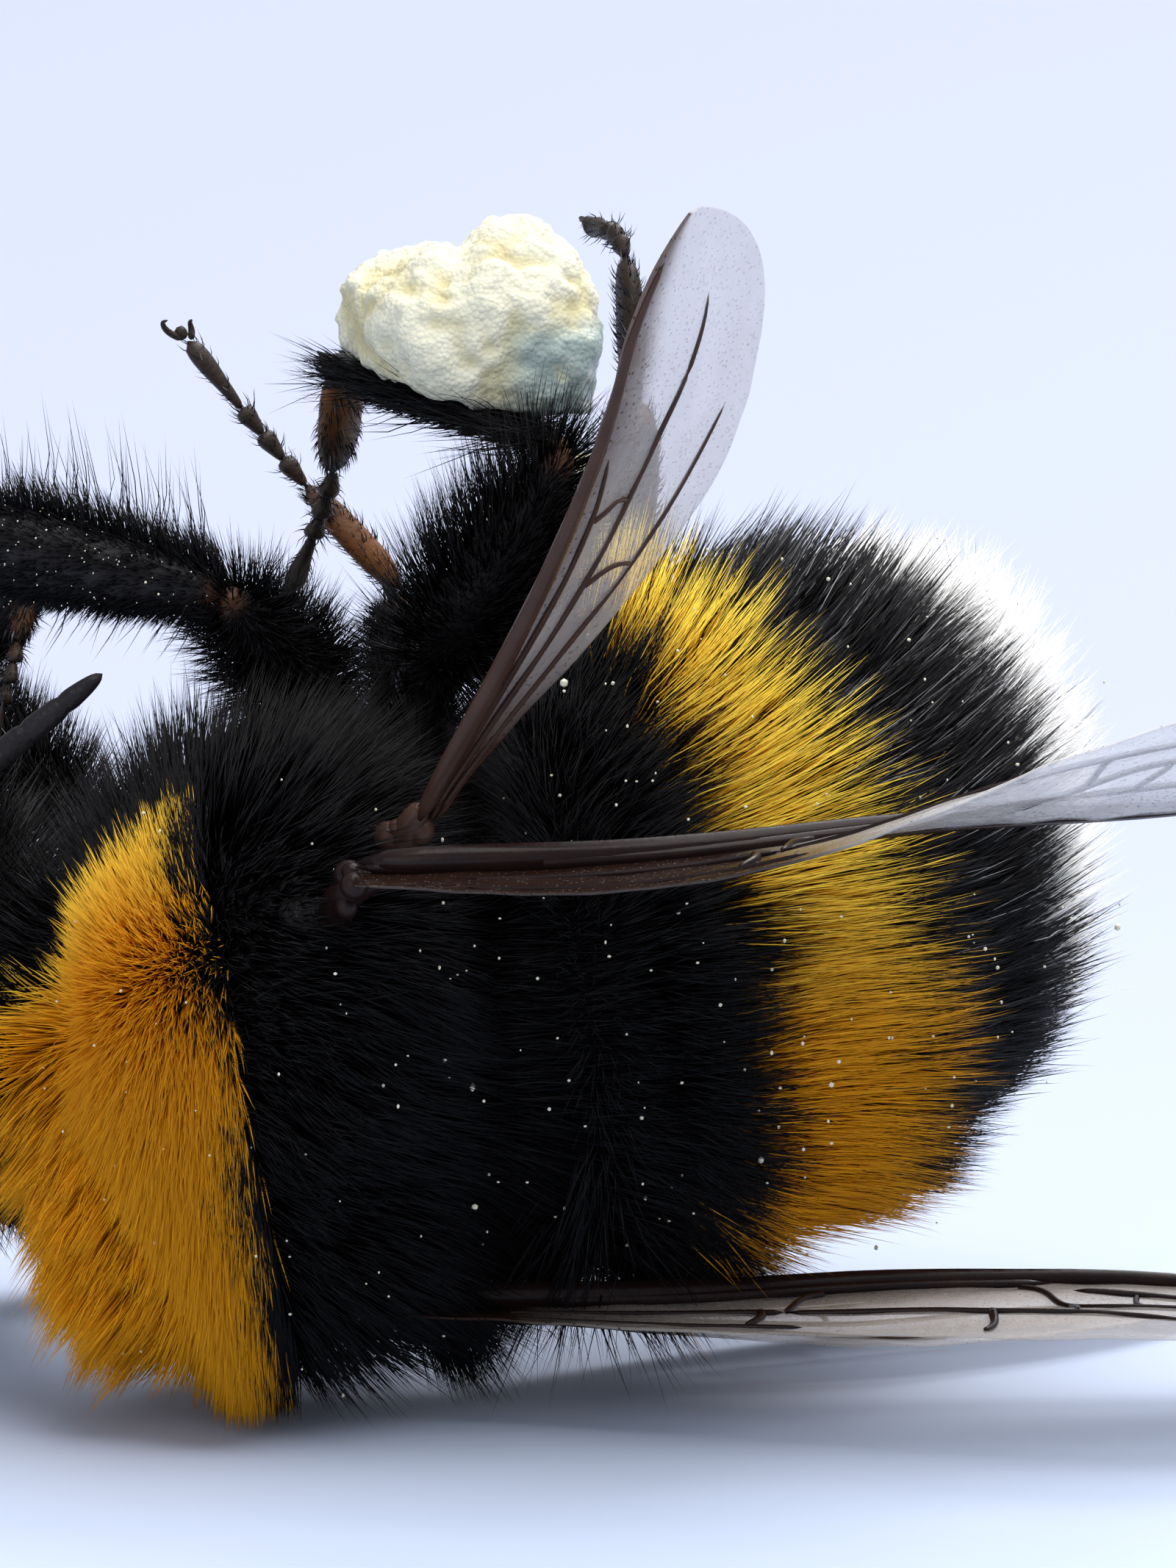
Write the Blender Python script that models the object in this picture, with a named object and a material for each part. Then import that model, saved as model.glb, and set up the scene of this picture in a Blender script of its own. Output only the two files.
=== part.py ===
"""A bumblebee worker at life size, lying on its left side with its back to the viewer.

Metres, +Z up, floor at z = 0. The head points along -X, the back faces -Y, and the legs
reach away along +Y and upwards. Each solid is an outer form, out to the tips of the coat,
and is parted from its neighbours by a thin slit.
"""

import math

import bmesh
import bpy
from mathutils import Matrix, Vector

MM = 0.001
SLIT = 0.12 * MM  # clearance between neighbouring solids
SHEET = 0.5 * MM  # thickness of a wing plate
FLOOR = 0.0

# Thorax: an egg whose lower flank is pressed flat by the floor.
THORAX_CENTRE = Vector((-3.25, -0.15, 3.7)) * MM
THORAX_HALF = Vector((2.85, 3.25, 3.82)) * MM
THORAX_ROUNDNESS = 2.15  # exponent of the superellipsoid, 2 is a plain ellipsoid
COLLAR_POINT = Vector((-3.65, -3.3, 3.6)) * MM  # where the collar ends on the back
COLLAR_NORMAL = Vector((0.93, 0.15, 0.25)).normalized()

# Abdomen: an ovoid along an axis that curls away under the belly.
ABDOMEN_START = Vector((-1.38, 0.8, 4.4)) * MM
ABDOMEN_LENGTH = 8.5 * MM
ABDOMEN_CLIMB = (math.radians(9), math.radians(50))  # slope at the waist and at the tip
ABDOMEN_TILT = (math.radians(2), math.radians(112))  # heading at the waist and at the tip
ABDOMEN_CURL_FROM = 0.8 * MM
ABDOMEN_SAG = 0.6 * MM  # how far the waist hangs below the axis
ABDOMEN_SAG_LENGTH = 3.4 * MM
ABDOMEN_WIDEST = 2.8 * MM  # distance from the waist along the axis
ABDOMEN_HALF_WIDTH = 3.98 * MM
ABDOMEN_BACK_DEPTH = 0.80  # back and belly radius, as shares of the half width
ABDOMEN_BELLY_DEPTH = 0.74
SEGMENT_ENDS = {  # where each visible segment ends along the axis
    "abdomen_t1": 2.25 * MM,
    "abdomen_t2": 3.65 * MM,
    "abdomen_t3": 5.0 * MM,
    "abdomen_t4": 6.25 * MM,
    "abdomen_t5": 7.3 * MM,
    "abdomen_tip": 8.5 * MM,
}

# Head: stations from the crown to the mouth as (place along the face, half width, half depth).
HEAD_CENTRE = Vector((-7.05, 1.55, 4.05)) * MM
FACE_DOWN = Vector((0.30, 0.95, -0.02)).normalized()  # from the crown to the mouth
HEAD_STATIONS = (
    (-2.25, 0.45, 0.30),
    (-2.05, 1.25, 0.80),
    (-1.55, 1.95, 1.22),
    (-0.75, 2.25, 1.42),
    (0.10, 2.22, 1.45),
    (0.90, 1.92, 1.35),
    (1.60, 1.50, 1.15),
    (2.15, 1.12, 0.85),
    (2.40, 0.80, 0.50),
)
HEAD_TURN = Vector((0.0, 0.0, 1.0))  # across the head, towards the bee's right
EYE_HALF = Vector((0.60, 1.42, 0.62)) * MM  # front to back, crown to mouth, sideways
EYE_PLACE = Vector((0.10, -0.15, 2.02)) * MM
EYE_LEAN = math.radians(11)  # the eyes draw together towards the mouth

# Feelers: reach from the face, elbow and tip.
FEELER_RADIUS = 0.26 * MM
FEELERS = {
    "right": (
        Vector((-8.9, 1.3, 4.55)) * MM,
        Vector((-9.1, -0.35, 5.6)) * MM,
        Vector((-7.3, -0.6, 6.25)) * MM,
        Vector((-6.15, -0.45, 6.95)) * MM,
        Vector((-5.25, -0.3, 7.68)) * MM,
    ),
    "left": (
        Vector((-8.9, 1.35, 3.5)) * MM,
        Vector((-9.35, 0.3, 2.05)) * MM,
        Vector((-9.65, -0.7, 1.55)) * MM,
        Vector((-9.7, -1.8, 1.15)) * MM,
        Vector((-9.3, -2.8, 0.75)) * MM,
    ),
}

# Legs: lengths of coxa with trochanter, femur, tibia, basitarsus and the rest of the foot.
LEG_LENGTHS = {
    "fore": (1.35, 2.5, 2.2, 1.15, 1.25),
    "mid": (1.5, 2.6, 2.9, 1.7, 1.95),
    "hind": (1.6, 3.2, 3.8, 1.7, 1.5),
}
# Half thickness at the near end, the middle and the far end of each segment.
LEG_RADII = {
    "coxa": (0.55, 0.52, 0.42),
    "femur": (0.40, 0.60, 0.34),
    "tibia": (0.30, 0.47, 0.42),
    "foot": (0.27, 0.28, 0.25),
}
TIBIA_BREADTH = {"fore": 1.0, "mid": 1.4, "hind": 1.75}  # broad side over thin side
TIBIA_THINNING = {"fore": 0.85, "mid": 1.0, "hind": 0.85}
JOINT_CLEARANCE = 0.07 * MM
# Where each leg leaves the body, and the way that each of its segments points.
LEG_POSES = {
    "right_fore": (
        (-4.6, 2.35, 4.75),
        ((-0.5, 0.8, 0.5), (-1.8, 1.0, 1.5), (1.4, -1.2, 2.0), (-0.2, -0.3, -1), (-0.3, -0.3, -1)),
    ),
    "right_mid": (
        (-3.2, 2.35, 5.65),
        ((0.4, -0.1, 1.0), (-1.1, -1.65, 1.35), (-1.0, 0.02, 0.21), (-0.95, 0.3, 0.0), (-0.6, 0.5, -0.6)),
    ),
    "right_hind": (
        (-1.85, 2.5, 5.75),
        ((0.12, -0.2, 1.0), (1.6, -0.85, 2.75), (-2.45, 2.85, 0.45), (-0.1, 0.6, -1.0), (-0.4, 0.2, -1.0)),
    ),
    "left_fore": (
        (-4.6, 2.35, 2.75),
        ((-0.55, 0.85, -0.3), (-1.2, 1.5, -1.0), (1.9, 0.5, -0.85), (1.0, 0.25, -0.12), (1.0, -0.1, 0.0)),
    ),
    "left_mid": (
        (-3.1, 2.45, 2.7),
        ((0.35, 1.0, 0.1), (0.6, 1.0, 1.4), (-0.2, 0.5, 1.75), (-0.9, 0.1, 1.05), (-0.85, 0.1, 1.05)),
    ),
    "left_hind": (
        (-1.8, 2.5, 3.1),
        ((0.3, 1.0, 0.35), (1.8, 1.3, 2.85), (0.07, 0.03, 1.0), (-0.05, 0.2, 1.0), (-0.3, 1.0, -0.1)),
    ),
}
# Which way the broad outer face of a flattened tibia looks.
TIBIA_FACES = {
    "right_hind": Vector((0.25, -0.1, 1.0)),
    "left_hind": Vector((-0.95, -0.25, 0.1)),
    "right_mid": Vector((0.1, -1.0, 0.1)),
}
POLLEN_HALF = {  # along the tibia, across it and out from it
    "right": Vector((1.7, 1.15, 1.0)) * MM,
    "left": Vector((1.25, 0.9, 0.85)) * MM,
}
POLLEN_PLACE = 0.54  # share of the tibia's length

# Wings: greatest chord, the front edge as a path, and the way the blade hangs from that edge
# at the root and at the tip.
FOREWING_CHORD = 3.9 * MM
HINDWING_CHORD = 2.5 * MM
WING_REACH = 0.967  # share of the path where the two edges meet in a rounded tip
WINGS = {
    "forewing_right": (
        FOREWING_CHORD,
        (
            (-2.45, -2.95, 6.0),
            (0.6, -2.95, 6.3),
            (3.6, -1.95, 6.45),
            (6.5, -0.8, 6.45),
            (10.0, 0.5, 6.75),
        ),
        ((0.0, -0.98, -0.15), (0.0, -0.90, 0.44)),
    ),
    "forewing_left": (
        FOREWING_CHORD,
        (
            (-2.1, -2.4, 1.25),
            (0.8, -1.0, 1.2),
            (3.8, -0.2, 1.25),
            (6.9, 0.1, 1.1),
            (10.3, 0.3, 0.02),
        ),
        ((0.1, -0.99, 0.0), (0.0, -1.0, 0.06)),
    ),
    "hindwing_right": (
        HINDWING_CHORD,
        (
            (-1.85, -1.9, 6.5),
            (-0.56, -3.2, 9.15),
            (0.22, -4.4, 11.3),
            (0.55, -5.5, 13.25),
        ),
        ((0.72, 0.65, 0.1), (0.60, 0.76, 0.12)),
    ),
    "hindwing_left": (
        HINDWING_CHORD,
        (
            (-1.3, 0.9, 0.72),
            (1.2, 2.6, 0.42),
            (3.9, 4.1, 0.28),
            (6.8, 5.4, 0.25),
        ),
        ((0.5, -0.86, 0.0), (0.5, -0.86, 0.0)),
    ),
}

FINISHES = {  # colour, roughness
    "black_coat": ((0.012, 0.012, 0.014), 0.75),
    "yellow_coat": ((0.72, 0.40, 0.03), 0.75),
    "white_coat": ((0.86, 0.85, 0.80), 0.75),
    "black_shell": ((0.010, 0.010, 0.012), 0.30),
    "eye": ((0.018, 0.012, 0.010), 0.12),
    "wing": ((0.30, 0.22, 0.16), 0.25),
    "brown_foot": ((0.16, 0.07, 0.025), 0.50),
    "amber_tongue": ((0.30, 0.12, 0.03), 0.35),
    "pollen": ((0.80, 0.76, 0.52), 0.90),
}


def finish_of(name):
    """The shared material of that finish."""
    material = bpy.data.materials.get(name)
    if material is None:
        colour, roughness = FINISHES[name]
        material = bpy.data.materials.new(name)
        material.use_nodes = True
        shader = material.node_tree.nodes["Principled BSDF"]
        shader.inputs["Base Color"].default_value = (*colour, 1.0)
        shader.inputs["Roughness"].default_value = roughness
        shader.inputs["Metallic"].default_value = 0.0
        material.diffuse_color = (*colour, 1.0)
    return material


def add_solid(name, shape, finish):
    """Makes a named object of a bmesh, with its faces pointing out."""
    bmesh.ops.recalc_face_normals(shape, faces=shape.faces)
    mesh = bpy.data.meshes.new(name)
    shape.to_mesh(mesh)
    shape.free()
    mesh.materials.append(finish_of(finish))
    mesh.shade_smooth()
    mesh.set_sharp_from_angle(angle=math.radians(40))
    solid = bpy.data.objects.new(name, mesh)
    bpy.context.scene.collection.objects.link(solid)
    return solid


def slice_off(shape, point, normal):
    """Cuts away what lies beyond the plane, on the side its normal points to, and caps the cut."""
    geometry = shape.verts[:] + shape.edges[:] + shape.faces[:]
    bmesh.ops.bisect_plane(
        shape, geom=geometry, dist=1e-8, plane_co=point, plane_no=normal, clear_outer=True
    )
    rim = [edge for edge in shape.edges if edge.is_boundary]
    if rim:
        bmesh.ops.edgeloop_fill(shape, edges=rim)


def rest_on_floor(shape):
    """Presses the underside of a shape flat at floor level."""
    slice_off(shape, Vector((0, 0, FLOOR)), Vector((0, 0, -1)))


def make_room(solid, neighbour):
    """Cuts a neighbour's hidden room from a solid."""
    cut = solid.modifiers.new("Room", "BOOLEAN")
    cut.operation = "DIFFERENCE"
    cut.solver = "EXACT"
    cut.object = neighbour


def hide_as_cutter(solid):
    """Marks a solid as a cutter, which isn't part of the bee."""
    solid.hide_render = True
    solid.display_type = "WIRE"
    return solid


def loft(rings, closed_ends=True):
    """A bmesh skin over rings of points that all have the same count."""
    shape = bmesh.new()
    rows = [[shape.verts.new(point) for point in ring] for ring in rings]
    for lower, upper in zip(rows, rows[1:]):
        for i in range(len(lower)):
            j = (i + 1) % len(lower)
            shape.faces.new((lower[i], lower[j], upper[j], upper[i]))
    if closed_ends:
        for row in (rows[0], rows[-1]):
            centre = shape.verts.new(sum((v.co for v in row), Vector()) / len(row))
            for i in range(len(row)):
                shape.faces.new((row[i], row[(i + 1) % len(row)], centre))
    return shape


def smooth_step(x):
    """0 below 0, 1 above 1, with a smooth rise between."""
    x = min(1.0, max(0.0, x))
    return x * x * (3 - 2 * x)


def through(points, t):
    """A point at t, from 0 to 1, on the smooth curve through the given points."""
    spans = len(points) - 1
    k = min(spans - 1, int(t * spans))
    x = t * spans - k
    before = points[k - 1] if k else points[k] * 2 - points[k + 1]
    after = points[k + 2] if k + 2 <= spans else points[k + 1] * 2 - points[k]
    start, end = points[k], points[k + 1]
    return 0.5 * (
        start * 2
        + (end - before) * x
        + (before * 2 - start * 5 + end * 4 - after) * x**2
        + (start * 3 - before - end * 3 + after) * x**3
    )


# ---------------------------------------------------------------- thorax


def thorax_shape(swell=0.0):
    """The whole thorax as a superellipsoid, swollen by a clearance, with its flank on the floor."""
    rings, sides = 15, 28
    half = THORAX_HALF + Vector((swell, swell, swell))
    power = 2 / THORAX_ROUNDNESS
    shape = bmesh.new()
    bmesh.ops.create_uvsphere(shape, u_segments=sides, v_segments=rings, radius=1.0)
    for vertex in shape.verts:
        x, y, z = vertex.co.z, vertex.co.y, vertex.co.x
        squared = [math.copysign(abs(c) ** power, c) * h for c, h in zip((x, y, z), half)]
        vertex.co = THORAX_CENTRE + Vector(squared)
    return shape


def build_thorax():
    """The collar and the rest of the thorax, parted by a slanting slit."""
    for name, side, finish in (
        ("thorax", -1, "black_coat"),
        ("collar", 1, "yellow_coat"),
    ):
        shape = thorax_shape()
        edge = COLLAR_POINT - COLLAR_NORMAL * side * SLIT / 2
        slice_off(shape, edge, COLLAR_NORMAL * side)
        rest_on_floor(shape)
        add_solid(name, shape, finish)
    return hide_as_cutter(add_solid("thorax_room", thorax_shape(SLIT), "black_coat"))


# ---------------------------------------------------------------- abdomen


def abdomen_direction(s):
    """Which way the abdomen's axis points at distance s from the waist, and where its back faces."""
    share = (s - ABDOMEN_CURL_FROM) / (ABDOMEN_LENGTH - ABDOMEN_CURL_FROM - 0.3 * MM)
    share = (smooth_step(share) + min(1, max(0, share))) / 2
    heading = ABDOMEN_TILT[0] + (ABDOMEN_TILT[1] - ABDOMEN_TILT[0]) * share
    rise = (max(s, 0) / ABDOMEN_LENGTH) ** 1.3
    climb = ABDOMEN_CLIMB[0] + (ABDOMEN_CLIMB[1] - ABDOMEN_CLIMB[0]) * rise
    level = Vector((math.cos(heading), math.sin(heading), 0))
    axis = level * math.cos(climb) + Vector((0, 0, math.sin(climb)))
    back = Vector((math.sin(heading), -math.cos(heading), 0))
    return axis, back


def abdomen_centre(s):
    """The axis point at distance s from the waist."""
    steps = 60
    point = ABDOMEN_START.copy()
    for k in range(steps):
        point += abdomen_direction(s * (k + 0.5) / steps)[0] * s / steps
    point.z -= ABDOMEN_SAG * max(0, 1 - s / ABDOMEN_SAG_LENGTH) ** 1.2
    return point


def abdomen_half_width(s):
    """Half the abdomen's width at s: a sloping front and a tapering tail."""
    if s < ABDOMEN_WIDEST:
        share = (ABDOMEN_WIDEST - s) / (ABDOMEN_WIDEST + 0.35 * MM)
        return ABDOMEN_HALF_WIDTH * (1 - share**2) ** 0.5
    share = (s - ABDOMEN_WIDEST) / (ABDOMEN_LENGTH + 0.02 * MM - ABDOMEN_WIDEST)
    return ABDOMEN_HALF_WIDTH * (1 - share**2.4) ** 0.85


def abdomen_ring(s, swell=0.0, sides=26):
    """An oval ring of the abdomen: round towards the back, flatter at the belly."""
    centre, (axis, back) = abdomen_centre(s), abdomen_direction(s)
    right = axis.cross(-back)
    width = abdomen_half_width(s) + swell
    ring = []
    for k in range(sides):
        angle = math.tau * k / sides
        depth = ABDOMEN_BACK_DEPTH if math.cos(angle) > 0 else ABDOMEN_BELLY_DEPTH
        ring.append(
            centre + back * math.cos(angle) * width * depth + right * math.sin(angle) * width
        )
    return ring


def build_abdomen(thorax_room):
    """The visible segments, from the waist to the tip."""
    finishes = {
        "abdomen_t1": "black_coat",
        "abdomen_t2": "yellow_coat",
        "abdomen_t3": "black_coat",
        "abdomen_t4": "white_coat",
        "abdomen_t5": "white_coat",
        "abdomen_tip": "black_shell",
    }
    spans = 4
    start = 0.0
    for name, end in SEGMENT_ENDS.items():
        first = start + SLIT / 2
        last = end - SLIT / 2 if name != "abdomen_tip" else end - 0.02 * MM
        if name == "abdomen_t1":
            first = 0.35 * MM
        rings = [abdomen_ring(first + (last - first) * k / spans) for k in range(spans + 1)]
        solid = add_solid(name, loft(rings), finishes[name])
        if name == "abdomen_t1":
            make_room(solid, thorax_room)
        start = end
    front, rear = 0.35 * MM - SLIT, SEGMENT_ENDS["abdomen_t3"]
    rings = [abdomen_ring(front + (rear - front) * k / 10, SLIT * 1.5) for k in range(11)]
    return hide_as_cutter(add_solid("abdomen_room", loft(rings), "black_coat"))


# ---------------------------------------------------------------- head


def head_frame():
    """The head's own axes as a matrix: back from the face, down the face, and across."""
    backwards = FACE_DOWN.cross(HEAD_TURN).normalized()
    across = backwards.cross(FACE_DOWN).normalized()
    axes = Matrix((backwards, FACE_DOWN, across)).transposed()
    return Matrix.Translation(HEAD_CENTRE) @ axes.to_4x4()


def egg(half, place, frame, rings=10, sides=16):
    """An ellipsoid with the given half sizes at a place in a frame."""
    shape = bmesh.new()
    bmesh.ops.create_uvsphere(shape, u_segments=sides, v_segments=rings, radius=1.0)
    matrix = frame @ Matrix.Translation(place) @ Matrix.Diagonal((*half, 1))
    bmesh.ops.transform(shape, matrix=matrix, verts=shape.verts)
    return shape


def eye_frame(side):
    """The frame of one eye, leaning in towards the mouth."""
    place = Vector((EYE_PLACE.x, EYE_PLACE.y, EYE_PLACE.z * side))
    lean = Matrix.Rotation(-EYE_LEAN * side, 4, "X")
    return head_frame() @ Matrix.Translation(place) @ lean


def build_head(thorax_room):
    """The head, its eyes, its jaws and the tongue folded back under it."""
    frame, sides = head_frame(), 22
    rings = []
    for place, half_width, half_depth in HEAD_STATIONS:
        ring = []
        for k in range(sides):
            angle = math.tau * k / sides
            local = Vector((math.cos(angle) * half_depth, place, math.sin(angle) * half_width))
            ring.append(frame @ (local * MM))
        rings.append(ring)
    head = add_solid("head", loft(rings), "black_coat")
    make_room(head, thorax_room)
    none = Vector((0, 0, 0))
    swell = Vector((SLIT, SLIT, SLIT))
    for word, side in (("right", 1), ("left", -1)):
        add_solid(f"eye_{word}", egg(EYE_HALF, none, eye_frame(side)), "eye")
        room = egg(EYE_HALF + swell, none, eye_frame(side))
        make_room(head, hide_as_cutter(add_solid(f"eye_{word}_room", room, "eye")))

    mouth = HEAD_STATIONS[-1][0] * MM
    for word, side in (("right", 1), ("left", -1)):
        root = frame @ Vector((-0.12 * MM, mouth + 0.36 * MM, side * 0.62 * MM))
        bend = frame @ Vector((-0.22 * MM, mouth + 0.75 * MM, side * 0.58 * MM))
        point = frame @ Vector((-0.26 * MM, mouth + 1.15 * MM, side * 0.38 * MM))
        jaw = tube([root, bend, point], [0.30 * MM, 0.32 * MM, 0.25 * MM], sides=10)
        add_solid(f"jaw_{word}", jaw, "black_shell")
    tongue = [
        frame @ Vector((0.62 * MM, mouth + 0.42 * MM, 0)),
        frame @ Vector((1.20 * MM, mouth + 0.32 * MM, 0)),
        frame @ Vector((1.82 * MM, mouth - 0.02 * MM, 0)),
    ]
    add_solid("tongue", tube(tongue, [0.34 * MM, 0.33 * MM, 0.27 * MM]), "amber_tongue")


# ---------------------------------------------------------------- tubes: feelers and legs


def tube(path, radii, sides=10, breadth=1.0, face=None, end_rings=1):
    """A round-ended tube along a path. Its broad side is breadth times its thin side, which looks along face."""
    rings = []
    headings = [
        (path[min(k + 1, len(path) - 1)] - path[max(k - 1, 0)]).normalized()
        for k in range(len(path))
    ]

    def ring_at(centre, heading, radius):
        look = Vector(face) if face is not None else Vector((0.3, -0.4, 0.86))
        across = heading.cross(look).normalized()
        thin = across.cross(heading).normalized()
        return [
            centre
            + across * math.cos(math.tau * k / sides) * radius * breadth
            + thin * math.sin(math.tau * k / sides) * radius
            for k in range(sides)
        ]

    def rounded(centre, heading, radius, outwards):
        """The rings that round off one end, from the body of the tube outwards."""
        return [
            ring_at(
                centre + heading * outwards * radius * math.sin(angle),
                heading,
                radius * math.cos(angle),
            )
            for angle in (math.radians(75 * (k + 1) / (end_rings + 1)) for k in range(end_rings + 1))
        ]

    rings += reversed(rounded(path[0], headings[0], radii[0], -1))
    rings += [ring_at(*station) for station in zip(path, headings, radii)]
    rings += rounded(path[-1], headings[-1], radii[-1], 1)
    return loft(rings)


def build_feelers():
    """Each feeler as a straight scape and a curved whip beyond the elbow."""
    for word, (root, elbow, *whip_points) in FEELERS.items():
        stations = 7
        path = [elbow, *whip_points]
        whip = [through(path, k / (stations - 1)) for k in range(stations)]
        elbow_plane = bend_plane(root, elbow, whip[1])
        scape = tube([root, elbow], [FEELER_RADIUS] * 2, sides=8)
        slice_off(scape, elbow - elbow_plane * SLIT / 2, elbow_plane)
        add_solid(f"feeler_scape_{word}", scape, "black_shell")
        radii = [FEELER_RADIUS * (0.97 + 0.06 * k / stations) for k in range(stations)]
        lash = tube(whip, radii, sides=8)
        slice_off(lash, elbow + elbow_plane * SLIT / 2, -elbow_plane)
        add_solid(f"feeler_whip_{word}", lash, "black_shell")


def bend_plane(before, joint, after):
    """The normal of the plane that halves the bend at a joint, pointing onwards."""
    return ((joint - before).normalized() + (after - joint).normalized()).normalized()


def leg_joints(leg):
    """The points where the segments of a leg meet, from the body to the claws."""
    root, aims = LEG_POSES[leg]
    joints = [Vector(root) * MM]
    for length, aim in zip(LEG_LENGTHS[leg.split("_")[1]], aims):
        joints.append(joints[-1] + Vector(aim).normalized() * length * MM)
    return joints


def segment(start, end, radii, breadth=1.0, face=None):
    """One leg segment: thin at its joints and full between them."""
    near, full, far = (r * MM for r in radii)
    stations = 5
    path, widths = [], []
    for k in range(stations):
        t = k / (stations - 1)
        path.append(start.lerp(end, t))
        ends = near + (far - near) * t
        widths.append(ends + (full - (near + far) / 2) * math.sin(math.pi * t**0.8))
    return tube(path, widths, sides=12, breadth=breadth, face=face)


def build_leg(leg, rooms):
    """Coxa, femur, tibia and foot of one leg, parted at each joint by a slit that halves the bend."""
    pair = leg.split("_")[1]
    joints = leg_joints(leg)
    face = TIBIA_FACES.get(leg)
    radii = [r * TIBIA_THINNING[pair] for r in LEG_RADII["tibia"]]
    near, full, far = (r * MM for r in LEG_RADII["foot"])
    ankle, bend, claw = joints[3:]
    foot_path = [
        ankle,
        ankle.lerp(bend, 0.55),
        bend.lerp(ankle, 0.12).lerp(claw, 0.10),
        bend.lerp(claw, 0.6),
        claw - (claw - bend).normalized() * far,
    ]
    pieces = (
        ("coxa", segment(joints[0], joints[1], LEG_RADII["coxa"])),
        ("femur", segment(joints[1], joints[2], LEG_RADII["femur"])),
        ("tibia", segment(joints[2], joints[3], radii, TIBIA_BREADTH[pair], face)),
        ("foot", tube(foot_path, [near, full, near, far, far], sides=10, face=face)),
    )
    for k, (word, shape) in enumerate(pieces):
        if k > 0:
            plane = bend_plane(joints[k - 1], joints[k], joints[k + 1])
            slice_off(shape, joints[k] + plane * SLIT / 2, -plane)
        if k < 3:
            plane = bend_plane(joints[k], joints[k + 1], joints[k + 2])
            slice_off(shape, joints[k + 1] - plane * SLIT / 2, plane)
        if joints[k + 1].z < 0.5 * MM:
            rest_on_floor(shape)
        solid = add_solid(f"{leg}_{word}", shape, "brown_foot" if word == "foot" else "black_coat")
        if word in ("coxa", "femur"):
            for room in rooms:
                make_room(solid, room)


def build_pollen(side):
    """The lump of pollen packed on the outer face of one hind tibia."""
    leg = f"{side}_hind"
    knee, ankle = leg_joints(leg)[2:4]
    along = (ankle - knee).normalized()
    out = TIBIA_FACES[leg]
    out = (out - along * out.dot(along)).normalized()
    across = along.cross(out)
    seat = max(LEG_RADII["tibia"]) * TIBIA_THINNING["hind"] * MM + JOINT_CLEARANCE
    half = POLLEN_HALF[side]
    axes = Matrix((along, across, out)).transposed().to_4x4()
    centre = knee.lerp(ankle, POLLEN_PLACE) + out * (seat + half.z * 0.45)
    lump = egg(half, Vector(), Matrix.Translation(centre) @ axes, rings=9, sides=16)
    for vertex in lump.verts:  # knobs where the bee packed one mouthful on another
        reach = vertex.co - centre
        turn = reach.dot(along) / half.x
        knob = 0.10 * math.cos(4.4 * turn + 0.8) + 0.05 * math.sin(5 * reach.dot(across) / half.y)
        vertex.co = centre + reach * (1 + knob)
    slice_off(lump, knee.lerp(ankle, POLLEN_PLACE) + out * seat, -out)
    add_solid(f"pollen_{side}", lump, "pollen")


# ---------------------------------------------------------------- wings


def chord_share(t, fore):
    """A wing's depth behind its front edge at t from root to tip, as a share of the deepest."""
    widest = 0.66 if fore else 0.50
    root = 0.13 if fore else 0.16
    if t < widest:
        return root + (1 - root) * smooth_step(0.12 + 0.88 * t / widest) ** 1.15
    return math.sqrt(max(0.0, 1 - ((t - widest) / (1 - widest)) ** 2.3))


def tip_drop(t):
    """How far the rounded tip falls back behind the front edge, as a share of the chord."""
    return 0.42 * max(0.0, (t - 0.72) / 0.28) ** 2.4


def build_wing(name, thorax_room):
    """One wing as a plate that hangs from its front edge and twists along it."""
    chord, path, (hang_root, hang_tip) = WINGS[name]
    points = [Vector(p) * MM for p in path]
    fore = name.startswith("forewing")
    stations, strips = 14, 3
    step = 1e-3
    upper, lower = [], []
    for i in range(stations):
        t = (i / (stations - 1)) ** 0.9 * WING_REACH
        front = through(points, t)
        heading = (through(points, min(1, t + step)) - through(points, t)).normalized()
        hang = Vector(hang_root).lerp(Vector(hang_tip), smooth_step(t * 1.4))
        hang = (hang - heading * hang.dot(heading)).normalized()
        normal = heading.cross(hang)
        depth = max(chord * (chord_share(t, fore) - tip_drop(t)), SHEET)
        start = chord * tip_drop(t)
        for rows, half in ((upper, SHEET / 2), (lower, -SHEET / 2)):
            rows.append(
                [
                    front + hang * (start + depth * j / strips) + normal * half
                    for j in range(strips + 1)
                ]
            )
    rings = [above + below[::-1] for above, below in zip(upper, lower)]
    shape = loft(rings)
    rest_on_floor(shape)
    wing = add_solid(name, shape, "wing")
    make_room(wing, thorax_room)


def centre_on_origin():
    """Moves the whole bee so that the middle of its box's underside is at the origin."""
    bpy.context.view_layer.update()
    graph = bpy.context.evaluated_depsgraph_get()
    corners = [
        solid.matrix_world @ Vector(corner)
        for solid in bpy.context.scene.objects
        if not solid.hide_render
        for corner in solid.evaluated_get(graph).bound_box
    ]
    middle = [(min(c[k] for c in corners) + max(c[k] for c in corners)) / 2 for k in (0, 1)]
    for solid in bpy.context.scene.objects:
        solid.location = (-middle[0], -middle[1], 0)
    print("centred by mm", [round(m / MM, 4) for m in middle])


def main():
    """Builds the whole bee."""
    for stale in list(bpy.data.objects):
        bpy.data.objects.remove(stale)
    thorax_room = build_thorax()
    abdomen_room = build_abdomen(thorax_room)
    build_head(thorax_room)
    build_feelers()
    for leg in LEG_POSES:
        build_leg(leg, [thorax_room, abdomen_room])
    for side in POLLEN_HALF:
        build_pollen(side)
    for name in WINGS:
        build_wing(name, thorax_room)
    centre_on_origin()


main()
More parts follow.
